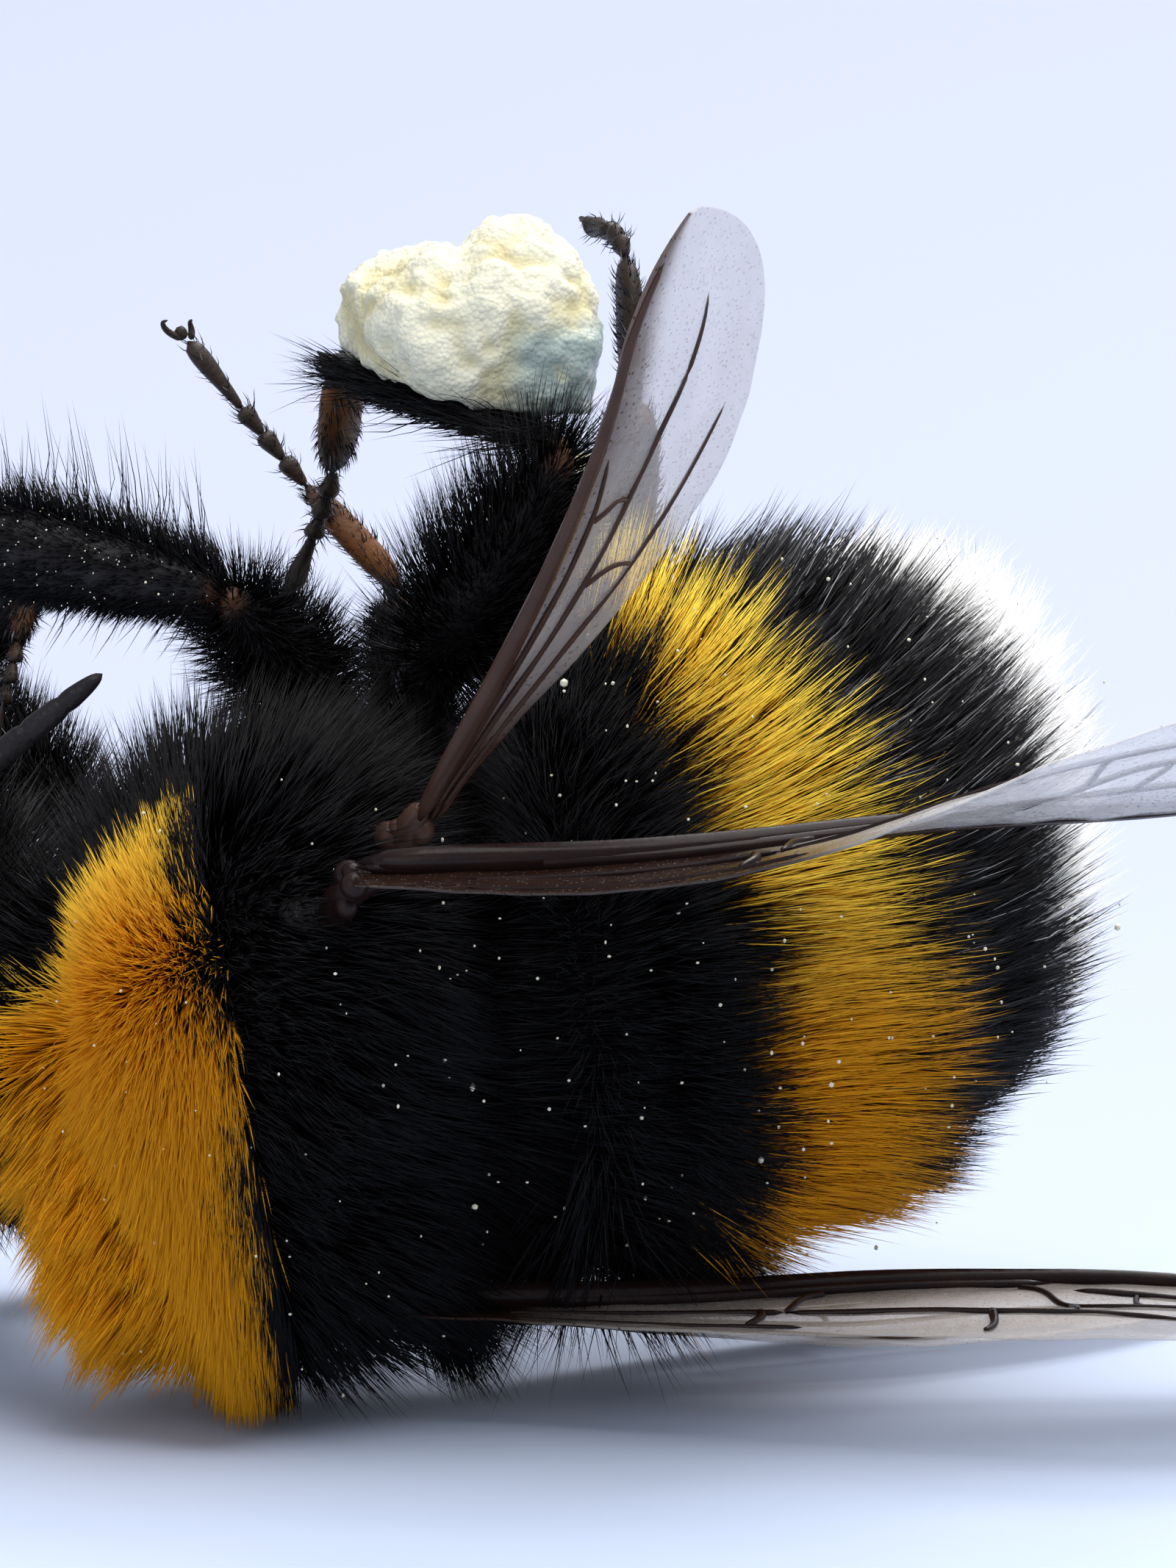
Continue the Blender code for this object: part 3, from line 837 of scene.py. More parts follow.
@dataclass(frozen=True)
class Chitin:
    """Shell: nearly black and glossy, with fine pits, and browner towards its thin ends."""

    colour: tuple = (0.009, 0.008, 0.009)
    worn: float = 2.2  # how much brighter the worn spots are
    brown: tuple = (0.20, 0.075, 0.022)
    roughness: tuple = (0.32, 0.52)
    brown_ends: float = 0.0  # how brown a limb is at its joints

    def make(self, name: str) -> Material:
        """Builds the material.

        Args:
            name: The material's name.

        Returns:
            The material.
        """
        graph = Graph(name, Specular_IOR_Level=0.12)
        clouds = graph.noise(0.35)
        colour = graph.mix(clouds, self.colour, tuple(c * self.worn for c in self.colour))
        if self.brown_ends:
            ends = graph.math("ABSOLUTE", graph.math("SUBTRACT", graph.attribute("limb")[0], 0.5))
            share = graph.span(graph.plus(ends, graph.times(clouds, 0.06)), 0.42, 0.53)
            colour = graph.mix(graph.times(share, self.brown_ends), colour, self.brown)
        pits = graph.plus(graph.cells(0.07), graph.times(graph.noise(0.03), 0.5))
        gloss = graph.sheen(0.12, *self.roughness)
        return graph.finish(Base_Color=colour, Roughness=gloss, Normal=graph.bump(pits, 0.012))


@dataclass(frozen=True)
class FootShell:
    """A foot: orange-brown at the ankle, dark grey-brown towards the claws."""

    ankle: tuple = (0.17, 0.062, 0.018)
    dark: tuple = (0.028, 0.018, 0.013)

    def make(self, name: str) -> Material:
        """Builds the material.

        Args:
            name: The material's name.

        Returns:
            The material.
        """
        graph = Graph(name, 0.42, Specular_IOR_Level=0.25)
        reach = graph.plus(graph.attribute("reach")[0], graph.times(graph.noise(0.25), 0.2))
        colour = graph.mix(graph.span(reach, 0.22, 0.62), self.ankle, self.dark)
        return graph.finish(Base_Color=colour, Normal=graph.bump(graph.noise(0.05), 0.010))


@dataclass(frozen=True)
class Hide:
    """The body's skin: dark shell, lightened under the yellow and the white of the coat with painted light,
    so the shaded gaps between strands look lit like the hair.
    """

    black: tuple = (0.007, 0.007, 0.009)
    worn: float = 1.9  # how much brighter the worn spots are
    # painted light under the coloured coat, not the shell's own colour
    gap_light_gold: tuple = (0.36, 0.14, 0.004)
    gap_light_white: tuple = (0.60, 0.58, 0.55)

    def make(self, name: str) -> Material:
        """Builds the material.

        Args:
            name: The material's name.

        Returns:
            The material.
        """
        graph = Graph(name, Specular_IOR_Level=0.25)
        yellow, white, _ = graph.attribute("marking")
        colour = graph.mottle(0.4, self.black, tuple(c * self.worn for c in self.black))
        # Painted light: the skin is lightened to the hair's colour under the yellow and the white coat.
        colour = graph.mix(yellow, colour, self.gap_light_gold)
        colour = graph.mix(white, colour, self.gap_light_white)
        gloss = graph.sheen(0.15, 0.30, 0.52)
        pits = graph.plus(graph.span(graph.cells(0.11), 0.10, 0.32), graph.times(graph.noise(0.05), 0.6))
        return graph.finish(Base_Color=colour, Roughness=gloss, Normal=graph.bump(pits, 0.014))


@dataclass(frozen=True)
class Hair:
    """The coat: black, golden or white by each strand's own marks, paler towards the tips, with painted
    light: lemon tips and silvery grey strands on the upper side, where the light falls from above.
    """

    black: tuple = (0.0022, 0.0022, 0.0030)
    black_tip: tuple = (0.009, 0.0085, 0.010)
    gold_root: tuple = (0.52, 0.185, 0.003)
    gold: tuple = (0.92, 0.385, 0.005)
    # painted highlight: the gold as lit from above, given to tips on the upper side
    lit_lemon: tuple = (1.0, 0.765, 0.085)
    white: tuple = (0.94, 0.93, 0.91)
    dull_white: tuple = (0.78, 0.77, 0.74)
    # painted sheen: the silvery grey that black strands take, more often on the upper side
    grey: tuple = (0.30, 0.30, 0.32)
    roughness: tuple = (0.37, 0.63)

    def make(self, name: str) -> Material:
        """Builds the material.

        Args:
            name: The material's name.

        Returns:
            The material.
        """
        graph = Graph(name, Specular_IOR_Level=0.14)
        yellow, white, pale = graph.attribute("marking")
        along, chance, light = graph.attribute("strand")
        black = graph.mix(graph.times(graph.span(along, 0.3, 1.0), chance), self.black, self.black_tip)
        # Silvery grey strands: a painted sheen.
        black = graph.mix(pale, black, self.grey)
        body = graph.mix(graph.span(along, 0.05, 0.45), self.gold_root, self.gold)
        ripe = graph.times(graph.span(along, 0.2, 0.9), graph.plus(light, 0.75), clamp=True)
        # Lemon tips on the upper side: a painted highlight where the light falls from above.
        golden = graph.mix(graph.times(ripe, pale), body, self.lit_lemon)
        golden = graph.mix(graph.times(chance, 0.28), golden, self.gold_root)
        snowy = graph.mix(graph.times(chance, 0.35), self.white, self.dull_white)
        colour = graph.mix(white, graph.mix(yellow, black, golden), snowy)
        return graph.finish(Base_Color=colour, Roughness=graph.span(chance, 0.0, 1.0, *self.roughness))


@dataclass(frozen=True)
class EyeGloss:
    """A compound eye: brown-black and polished, with rows of tiny facets."""

    colour: tuple = (0.012, 0.008, 0.007)
    glow: tuple = (0.026, 0.012, 0.008)
    facet: float = 0.034

    def make(self, name: str) -> Material:
        """Builds the material.

        Args:
            name: The material's name.

        Returns:
            The material.
        """
        graph = Graph(name, Specular_IOR_Level=0.35, Coat_Weight=0.35, Coat_Roughness=0.06)
        dome = graph.span(graph.cells(self.facet, 0.12), 0.0, 0.62, 1.0, 0.0)
        gloss = graph.span(dome, 0.0, 1.0, 0.30, 0.13)
        colour = graph.mottle(0.5, self.colour, self.glow)
        return graph.finish(Base_Color=colour, Roughness=gloss, Normal=graph.bump(dome, 0.0022, 0.7))


@dataclass(frozen=True)
class Membrane:
    """A wing's skin: smoky and see-through, stippled with tiny hairs, browner at its root."""

    colour: tuple = (0.62, 0.56, 0.50)
    dark: tuple = (0.020, 0.009, 0.006)
    opacity: tuple = (0.32, 0.95)  # of its clear and its smoky places
    root: tuple = (0.06, 0.36)  # where along the wing the dark of the root fades
    gloss: float = 0.12
    edge: float = 0.40  # how dark the front edge is

    def make(self, name: str) -> Material:
        """Builds the material.

        Args:
            name: The material's name.

        Returns:
            The material.
        """
        graph = Graph(name, Specular_IOR_Level=self.gloss)
        along, chord, _ = graph.attribute("blade")
        dots = graph.span(graph.cells(0.075), 0.10, 0.26, 1.0, 0.0)
        near_edge = graph.span(chord, 0.02, 0.40, 1.0, 0.0)
        near_root = graph.span(along, *self.root, 1.0, 0.0)
        brown = graph.math("MAXIMUM", near_root, graph.times(near_edge, self.edge))
        shade = graph.plus(graph.times(brown, 0.95), graph.times(graph.noise(0.8), 0.25), clamp=True)
        shade = graph.plus(shade, graph.times(dots, 0.28), clamp=True)
        wrinkle = graph.plus(graph.noise(0.22), graph.times(dots, 0.35))
        return graph.finish(
            Base_Color=graph.mix(shade, self.colour, self.dark),
            Alpha=graph.span(shade, 0.0, 1.0, *self.opacity),
            Roughness=graph.span(dots, 0.0, 1.0, 0.18, 0.5),
            Normal=graph.bump(wrinkle, 0.030),
        )


@dataclass(frozen=True)
class Mottled:
    """A plain finish of two colours in clouds: the veins of the wings, and the tongue."""

    colour: tuple = (0.004, 0.003, 0.005)
    other: tuple = (0.022, 0.009, 0.006)
    clouds: float = 0.5
    sheen: tuple = (0.2, 0.22, 0.34)  # clouds of roughness: their size, and the lowest and highest
    relief: tuple = (0.08, 0.003)  # size and depth of its bumps
    gloss: float = 0.15
    coat: float = 0.0

    def make(self, name: str) -> Material:
        """Builds the material.

        Args:
            name: The material's name.

        Returns:
            The material.
        """
        graph = Graph(name, Specular_IOR_Level=self.gloss, Coat_Weight=self.coat, Coat_Roughness=0.2)
        size, depth = self.relief
        colour = graph.mottle(self.clouds, self.colour, self.other)
        relief = graph.bump(graph.noise(size), depth)
        return graph.finish(Base_Color=colour, Roughness=graph.sheen(*self.sheen), Normal=relief)


@dataclass(frozen=True)
class PollenPaste:
    """Packed pollen: cream, crumbly and matt, with a waxy grey-green side."""

    cream: tuple = (0.76, 0.745, 0.595)
    deep: tuple = (0.62, 0.56, 0.33)
    waxy: tuple = (0.33, 0.40, 0.36)

    def make(self, name: str) -> Material:
        """Builds the material.

        Args:
            name: The material's name.

        Returns:
            The material.
        """
        graph = Graph(name, Specular_IOR_Level=0.3)
        wax, hollow, _ = graph.attribute("paste")
        grains = graph.cells(0.055)
        colour = graph.mix(graph.span(hollow, 0.2, 0.9), self.cream, self.deep)
        colour = graph.mix(graph.span(grains, 0.25, 0.6, 0.0, 0.20), colour, self.deep)
        waxed = graph.times(wax, graph.span(graph.noise(0.3), 0.3, 0.5, 0.45, 1.0))
        crumbs = graph.math("SUBTRACT", graph.noise(0.15), grains)
        return graph.finish(
            Base_Color=graph.mix(waxed, colour, self.waxy),
            Roughness=graph.span(wax, 0.2, 0.9, 0.92, 0.32),
            Normal=graph.bump(crumbs, 0.018),
        )


@dataclass(frozen=True)
class Tabletop:
    """The pale floor under the bee, a little darker behind it."""

    colour: tuple = (0.575, 0.68, 0.855)
    far: tuple = (0.436, 0.476, 0.605)
    reach: float = 45.0  # distance in front and behind, over which it changes

    def make(self, name: str) -> Material:
        """Builds the material.

        Args:
            name: The material's name.

        Returns:
            The material.
        """
        graph = Graph(name, 0.6, Specular_IOR_Level=0.25)
        _, depth, _ = graph.parts(graph.place())
        share = graph.span(depth, -self.reach, self.reach)
        return graph.finish(Base_Color=graph.mix(share, self.colour, self.far))


# ---------------------------------------------------------------- the skin


@dataclass
class Skin:
    """One closed skin over thorax, abdomen and head, inside the coat that grows on it."""

    plan: BodyPlan
    markings: Markings
    depths: tuple = (1.02, 0.80, 0.34)  # of the coat on thorax, abdomen and head
    gap: float = 0.10  # swelling that closes the slits between the solids
    rough_voxel: float = 0.13
    voxel: float = 0.075
    waist: float = 1.75  # radius of the hidden waist
    neck: float = 0.85
    fold: float = 0.10  # height of the steps between the abdomen's segments
    piece: Piece = field(init=False)
    part: Array = field(init=False)

    def _mass(self, part: Part, *nodes: str) -> Piece:
        """One mass of the body, shrunk by its coat's depth.

        Args:
            part: Which part of the body it is.
            nodes: The solids that it is made from.

        Returns:
            The mass.
        """
        mass = copy_of(f"mass_{part.name.lower()}", *nodes)
        modify(mass, "DISPLACE", strength=self.gap, mid_level=0.0)
        modify(mass, "REMESH", mode="VOXEL", voxel_size=self.rough_voxel)
        modify(mass, "SMOOTH", factor=0.5, iterations=12)
        modify(mass, "DISPLACE", strength=-(self.depths[part.value] + self.gap), mid_level=0.0)
        modify(mass, "SMOOTH", factor=0.5, iterations=6)
        return mass

    def build(self) -> None:
        """Makes the skin, its folds and its marks."""
        masses = [
            self._mass(Part.THORAX, "thorax", "collar"),
            self._mass(Part.ABDOMEN, *ABDOMEN),
            self._mass(Part.HEAD, "head", "eye_left", "eye_right"),
        ]
        clouds = [points_of(mass) for mass in masses]
        hip = self.plan.abdomen.at(np.array([1.9]))[0][0]
        chest = self.plan.thorax + np.array([0.0, 0.15, -0.45])
        nape = self.plan.from_head(-0.6, -0.35, 0)
        ties = [
            Limb(name, path, (radius, radius * swell), segments=28, rings=24, blunt=8).build()
            for name, path, radius, swell in (
                ("waist", (chest, hip), self.waist, 1.1), ("neck", (nape, self.plan.thorax), self.neck, 1.5)
            )
        ]
        skin = join("skin", [*masses, *ties])
        skin.data.attributes.remove(skin.data.attributes["limb"])
        modify(skin, "REMESH", mode="VOXEL", voxel_size=self.voxel)
        modify(skin, "SMOOTH", factor=0.5, iterations=8)
        self.piece = skin
        self.part = self._nearest_mass(points_of(skin), clouds)
        self._fold_segments()
        HeadShape(self.plan).sculpt(skin, self.part == Part.HEAD.value)
        points = points_of(skin)
        marks = np.zeros((len(points), 3))
        for part in Part:
            on = self.part == part.value
            marks[on] = self.markings.bands(self.plan, part, points[on])
        note(skin, "marking", marks)

    @staticmethod
    def _nearest_mass(points: Array, clouds: Sequence[Array]) -> Array:
        """Which mass each point came from."""
        trees = [tree_of(cloud, range(len(cloud))) for cloud in clouds]
        return np.argmin([[tree.find(point)[2] for point in points] for tree in trees], axis=0)

    def _fold_segments(self) -> None:
        """Steps the skin down at the rear edge of each segment of the abdomen."""
        points, normals = points_of(self.piece), normals_of(self.piece)
        on = self.part == Part.ABDOMEN.value
        s, _ = self.plan.abdomen.place(points[on])
        step = np.zeros(len(s))
        for edge in self.plan.abdomen.knots[1:-1]:
            before = s - (edge - 0.35)
            step += self.fold * ease(-1.0, 0.0, before) * fade(0.0, 0.12, before)
        points[on] += normals[on] * step[:, None]
        move_to(self.piece, points)


@dataclass
class HeadShape:
    """The modelling of the face: clypeus, brow, sockets, cheeks and ocelli mounds."""

    plan: BodyPlan
    clypeus: tuple = (1.26, 0.88, 0.96)  # place down the face, half width, half height
    clypeus_rise: float = 0.26
    socket_place: tuple = (0.12, 0.46)  # down and to the side
    ocelli: tuple = ((-1.28, 0.0), (-1.42, 0.34), (-1.42, -0.34))

    def sculpt(self, skin: Piece, on: Array) -> None:
        """Moves the head's vertices along their normals.

        Args:
            skin: The whole skin.
            on: Which of its vertices belong to the head.
        """
        points, normals = points_of(skin), normals_of(skin)
        local = self.plan.in_head(points[on])
        ahead, down, side = local.T
        front = ease(0.1, 0.7, ahead)
        middle, half_width, half_height = self.clypeus
        reach = np.hypot(side / half_width, (down - middle) / half_height)
        rise = self.clypeus_rise * fade(0.55, 1.05, reach)
        rise -= 0.07 * bell(reach, 1.15, 0.13)
        brow = 0.10 * bell(side, 0, 0.22) * fade(0.15, 0.6, np.abs(down + 0.1))
        place, spread = self.socket_place
        socket = np.hypot(np.abs(side) - spread, down - place)
        ring = 0.07 * bell(socket, 0.30, 0.09) - 0.15 * fade(0.05, 0.26, socket)
        crease = -0.06 * bell(side, 0, 0.06) * ease(-1.3, -0.9, down) * fade(-0.5, -0.2, down)
        lift = front * (rise + brow + ring + crease)
        for height, offset in self.ocelli:
            near = np.hypot(down - height, side - offset)
            lift += 0.06 * fade(0.10, 0.24, near) * ease(-0.2, 0.3, ahead)
        orbit = np.abs(np.abs(side) - (self.plan.eye_half_span - 0.32))
        lift += 0.05 * bell(orbit, 0, 0.10) * fade(1.0, 1.5, np.abs(down + 0.15))
        points[on] += normals[on] * lift[:, None]
        move_to(skin, points)


# ---------------------------------------------------------------- the coat


@dataclass(frozen=True)
class Growth:
    """How one stretch of the coat grows; lengths in mm, angles in degrees from the skin."""

    strands: int
    length: float
    lift: float  # slope at the root
    lie: float  # slope at the tip
    vary: float = 0.20  # how much lengths differ
    stray: float = 0.12  # how much headings differ
    tuft: float = 0.32  # distance between the tufts' middles
    gather: float = 0.45  # how far tips draw together in a tuft
    width: float = 0.027  # strand thickness at the root
    rings: int = 3
    # share of silvery grey strands; on the body's coat the marks put more of them on the upper side, a
    # painted sheen
    grey: float = 0.0  # share of silvery strands
    tip: float = 0.22  # tip thickness as a share of the root's


@dataclass
class Roots:
    """Where strands start, and which way the skin and the coat run there."""

    points: Array
    normals: Array
    flow: Array
    unwrap: Array
    length: Array | float = 1.0  # shares of the growth's length
    slope: Array | float = 0.0  # degrees added to the growth's slopes

def scatter(piece: Piece, count: int, weight: Array, seed: int) -> tuple[Array, Array]:
    """Picks random places on a mesh.

    Args:
        piece: A mesh in millimetres.
        count: How many places.
        weight: How dense they are at each vertex.
        seed: The seed of the random draw.

    Returns:
        The places and their smooth normals.
    """
    random = np.random.default_rng(seed)
    mesh = piece.data
    mesh.calc_loop_triangles()
    corners = np.empty(len(mesh.loop_triangles) * 3, np.int32)
    mesh.loop_triangles.foreach_get("vertices", corners)
    corners = corners.reshape(-1, 3)
    points, normals = points_of(piece), normals_of(piece)
    a, b, c = (points[corners[:, k]] for k in range(3))
    area = np.linalg.norm(np.cross(b - a, c - a), axis=1) * weight[corners].mean(axis=1)
    chosen = corners[random.choice(len(corners), count, p=area / area.sum())]
    u, v = random.random(count), random.random(count)
    flip = u + v > 1
    u, v = np.where(flip, 1 - u, u), np.where(flip, 1 - v, v)
    shares = np.column_stack([1 - u - v, u, v])[:, :, None]
    return (points[chosen] * shares).sum(axis=1), unit((normals[chosen] * shares).sum(axis=1))


def along_skin(vectors: Array, normals: Array) -> Array:
    """The same vectors laid flat on the skin, at length one."""
    return unit(vectors - normals * np.sum(vectors * normals, axis=1, keepdims=True))


def bake_place(turn: Array, along: Array) -> Array:
    """Places on the bake map, by turns around a mass (-0.5 to 0.5) and shares of its length."""
    return np.column_stack([turn + 0.5, np.clip(along, 0, 1)])


@dataclass
class Coat:
    """Hair as joined closed strands, each three-sided and tapered."""

    material: Material
    patch: float = 0.003  # each strand's place on the bake map
    sunk: float = 0.06  # how deep a root sits in the skin
    floor: float = 0.03
    bends: tuple = ((0.0, 0.5), (0.0, 0.36, 0.74))  # where a strand of two or three rings has them

    @staticmethod
    def _tufts(roots: Roots, tips: Array, growth: Growth, random: np.random.Generator) -> Array:
        """Draws the tips of neighbouring strands together.

        Args:
            roots: Where the strands stand.
            tips: Where they end.
            growth: How large the tufts are, and how tight.
            random: Source of the draws.

        Returns:
            The tips as drawn together.
        """
        x, y, z = roots.points.max(axis=0) - roots.points.min(axis=0)
        area = 1.6 * (x * y + y * z + z * x)
        share = (growth.tuft**2) * growth.strands / max(area, 1.0)
        leaders = random.choice(len(tips), max(12, int(len(tips) / max(share, 3.0))), replace=False)
        tree = tree_of(roots.points, leaders)
        chief = np.array([tree.find(point)[1] for point in roots.points])
        pulled = tips[chief] + (roots.points - roots.points[chief]) * 0.30
        gather = growth.gather * random.uniform(0.5, 1.0, (len(tips), 1))
        return tips + (pulled - tips) * gather

    def grow(self, name: str, roots: Roots, growth: Growth, marks: Array, seed: int) -> Piece:
        """Makes one coat piece.

        Args:
            name: The piece's name.
            roots: Where the strands start.
            growth: How they grow.
            marks: How yellow, how white and how pale each strand is; the paleness is painted light from
                above.
            seed: The seed of the random draw.

        Returns:
            The piece, in millimetres.
        """
        random = np.random.default_rng(seed)
        count = len(roots.points)
        length = growth.length * (1 + growth.vary * random.normal(size=count).clip(-2, 2))
        length = (length * roots.length)[:, None]

        def heading(slope: float) -> Array:
            angle = np.radians(np.broadcast_to(slope + roots.slope, count))[:, None]
            straight = roots.flow * np.cos(angle) + roots.normals * np.sin(angle)
            return unit(straight + random.normal(0, growth.stray, (count, 3)))

        first, last = heading(growth.lift), heading(growth.lie)
        start = roots.points - roots.normals * self.sunk
        tips = self._tufts(roots, roots.points + length * (0.5 * first + 0.5 * last), growth, random)
        bend = roots.points + length * (0.48 * first + random.normal(0, 0.03, (count, 3)))
        for ends in (tips, bend, start):
            ends[:, 2] = np.maximum(ends[:, 2], self.floor + random.uniform(0, 0.05, count))
        return self._mesh(name, (start, bend, tips), roots.unwrap, growth, marks, random)

    def _mesh(
        self, name: str, curves: tuple, unwrap: Array, growth: Growth, marks: Array,
        random: np.random.Generator,
    ) -> Piece:
        """Turns strand curves into one mesh with its notes and its bake map.

        Args:
            name: The mesh's name.
            curves: Starts, bends and tips of the strands.
            unwrap: Where each root lies on the bake map.
            growth: How thick the strands are.
            marks: Values that give each strand its colour.
            random: Source of the draws.

        Returns:
            The mesh.
        """
        start, bend, tips = curves
        count, rings = len(start), growth.rings
        each = rings * 3 + 1
        shares = self.bends[rings - 2]
        spin = random.uniform(0, math.tau, count)
        thick = growth.width * random.uniform(0.75, 1.2, count) / 2
        points = np.empty((count, each, 3))
        for ring, t in enumerate(shares):
            centre = start * (1 - t) ** 2 + bend * 2 * t * (1 - t) + tips * t * t
            heading = unit((bend - start) * (1 - t) + (tips - bend) * t)
            side = unit(np.cross(heading, np.array([0.37, 0.52, 0.77])))
            other = np.cross(heading, side)
            radius = thick * (1 - (1 - growth.tip) * t**1.6)
            for k in range(3):
                angle = spin + math.tau * k / 3
                points[:, ring * 3 + k] = centre + radius[:, None] * (
                    side * np.cos(angle)[:, None] + other * np.sin(angle)[:, None]
                )
        points[:, -1] = tips

        triangles = [(2, 1, 0)]
        for ring in range(rings - 1):
            for k in range(3):
                a, b = ring * 3 + k, ring * 3 + (k + 1) % 3
                triangles += [(a, b, b + 3), (a, b + 3, a + 3)]
        triangles += [(each - 4 + k, each - 4 + (k + 1) % 3, each - 1) for k in range(3)]
        faces = (np.array(triangles)[None] + (np.arange(count) * each)[:, None, None]).reshape(-1, 3)
        piece = from_arrays(name, points.reshape(-1, 3), faces)

        along = np.append(np.repeat(shares, 3), 1.0)
        chance, light = random.random(count), random.random(count)
        note(piece, "strand", np.column_stack(
            [np.tile(along, count), np.repeat(chance, each), np.repeat(light, each)]
        ))
        # Painted light: golden strands take the lemon highlight by their paleness, and black strands turn
        # silvery grey by chance, more often on the upper side, a painted sheen.
        silver = growth.grey * (0.1 + marks[:, 2] ** 2)
        grey = (random.random(count) < silver) * random.uniform(0.3, 1.0, count)
        pale = np.where(marks[:, 0] > 0.5, marks[:, 2], grey)
        note(piece, "marking", np.repeat(np.column_stack([marks[:, :2], pale]), each, axis=0))

        around = np.append(np.tile([0.0, 0.5, 1.0], rings), 0.5)
        local = np.column_stack([around, along]) * self.patch
        margin = 2 * self.patch
        base = unwrap * (1 - 2 * margin) + margin
        flat = (base[:, None] + local[None]).reshape(-1, 2)
        bake = piece.data.uv_layers.new(name="OFBake")
        bake.data.foreach_set("uv", np.ascontiguousarray(flat[faces.ravel()], np.float32).ravel())
        return piece


@dataclass
class BodyCoat:
    """The fur of thorax, abdomen and head."""

    plan: BodyPlan
    markings: Markings
    skin: Skin
    coat: Coat
    collar_front: Growth = Growth(5600, 1.20, 6, -8, tuft=0.46, gather=0.80, stray=0.10, width=0.024)
    collar_rear: Growth = Growth(17500, 1.28, 0, 0, 0.08, 0.10, 0.20, 0.06, 0.033, rings=2, tip=0.6)
    thorax: Growth = Growth(22000, 1.24, 66, 50, tuft=0.26, gather=0.40, stray=0.17, rings=2, width=0.024)
    first: Growth = Growth(9000, 1.30, 58, 34, stray=0.15, rings=2)
    golden: Growth = Growth(18500, 1.50, 46, 10, vary=0.15, stray=0.085, gather=0.38, rings=2, width=0.021)
    # Its silvery strands are a painted sheen on the band's upper side.
    black: Growth = Growth(11500, 1.32, 44, 14, stray=0.12, grey=0.09, rings=2, width=0.024)
    white: Growth = Growth(10500, 1.20, 46, 18, stray=0.13, rings=2, width=0.024)
    vertex: Growth = Growth(6800, 1.05, 62, 48, tuft=0.24, gather=0.45, rings=2, width=0.022)
    face: Growth = Growth(5200, 0.42, 52, 30, tuft=0.18, gather=0.30, rings=2, width=0.018)

    def build(self) -> None:
        """Grows every stretch of the body's coat."""
        self.vertices = points_of(self.skin.piece)
        below = -normals_of(self.skin.piece)[:, 2]
        # Fewer strands where the body rests on the floor.
        self.thin = 1 - 0.6 * ease(0.45, 0.85, below) * fade(1.2, 2.4, self.vertices[:, 2])
        self._abdomen()
        self._thorax()
        self._head()

    def _piece(
        self, name: str, growth: Growth, weight: Array, slot: Slot, seed: int, lay: Callable
    ) -> None:
        """Grows one piece.

        Args:
            name: The piece's name.
            growth: How its strands grow.
            weight: How dense they are at each of the skin's vertices.
            slot: The record's slot for its colour.
            seed: The seed of the random draws.
            lay: Gives the strands' roots and marks, from places, normals, growth and seed.
        """
        points, normals = scatter(self.skin.piece, growth.strands, weight, seed)
        roots, marks = lay(points, normals, growth, seed)
        finish(name, [self.coat.grow(name, roots, growth, marks, seed)], self.coat.material, slot)

    def _abdomen(self) -> None:
        """T1 to the tip, as four pieces that meet at the bands' edges."""
        on = self.skin.part == Part.ABDOMEN.value
        s = np.full(len(on), -9.0)
        turn = np.zeros(len(on))
        s[on], turn[on] = self.plan.abdomen.place(self.vertices[on])
        ends = self.plan.abdomen.knots - self.markings.band_shift
        belly = 1 - 0.45 * ease(105, 140, np.abs(turn))
        for name, growth, low, high, slot, seed in (
            ("coat_waist", self.first, -0.3, ends[1] + 0.25, Slot.BLACK_COAT, 11),
            ("coat_gold_band", self.golden, ends[1] - 0.2, ends[2] + 0.2, Slot.YELLOW_COAT, 12),
            ("coat_black_band", self.black, ends[2] - 0.2, ends[3] + 0.2, Slot.BLACK_COAT, 13),
            ("coat_tail", self.white, ends[3] - 0.15, ends[-1] + 0.8, Slot.WHITE_COAT, 14),
        ):
            weight = on * belly * self.thin * (s > low) * (s < high)
            weight = weight * (1 + 1.6 * fade(0.9, 1.9, s) * (1 + ease(40, 80, -turn)))
            self._piece(name, growth, weight, slot, seed, self._lay_abdomen)

    def _lay_abdomen(
        self, points: Array, normals: Array, growth: Growth, seed: int
    ) -> tuple[Roots, Array]:
        """Hair that runs to the rear, hangs on the left flank, and turns black in places.

        Args:
            points: Places of the roots on the skin.
            normals: The skin's normals there.
            growth: How the strands grow.
            seed: The seed of the random draws.

        Returns:
            The roots, and the marks that give each strand its colour.
        """
        s, turn = self.plan.abdomen.place(points)
        centre, axis, _ = self.plan.abdomen.at(s)
        down = np.array([0.0, 0.0, -1.0])
        outward = unit(points - centre)
        front = ease(0.15, 0.75, -np.sum(normals * axis, axis=1))[:, None]
        sag = (ease(20, 80, -turn) * fade(125, 160, -turn))[:, None]
        sag = sag * (1 - 0.8 * ease(1.9, 2.6, s) * ease(50, 75, -turn))[:, None]
        swirl = ripple(points, 2.6, 21)[:, None] * np.cross(normals, axis) * 0.18
        flow = along_skin(axis + outward * front * 1.6 + down * sag * 0.45 + swirl, normals)
        roots = Roots(points, normals, flow, bake_place(turn / 360, s / self.plan.abdomen.knots[-1]))
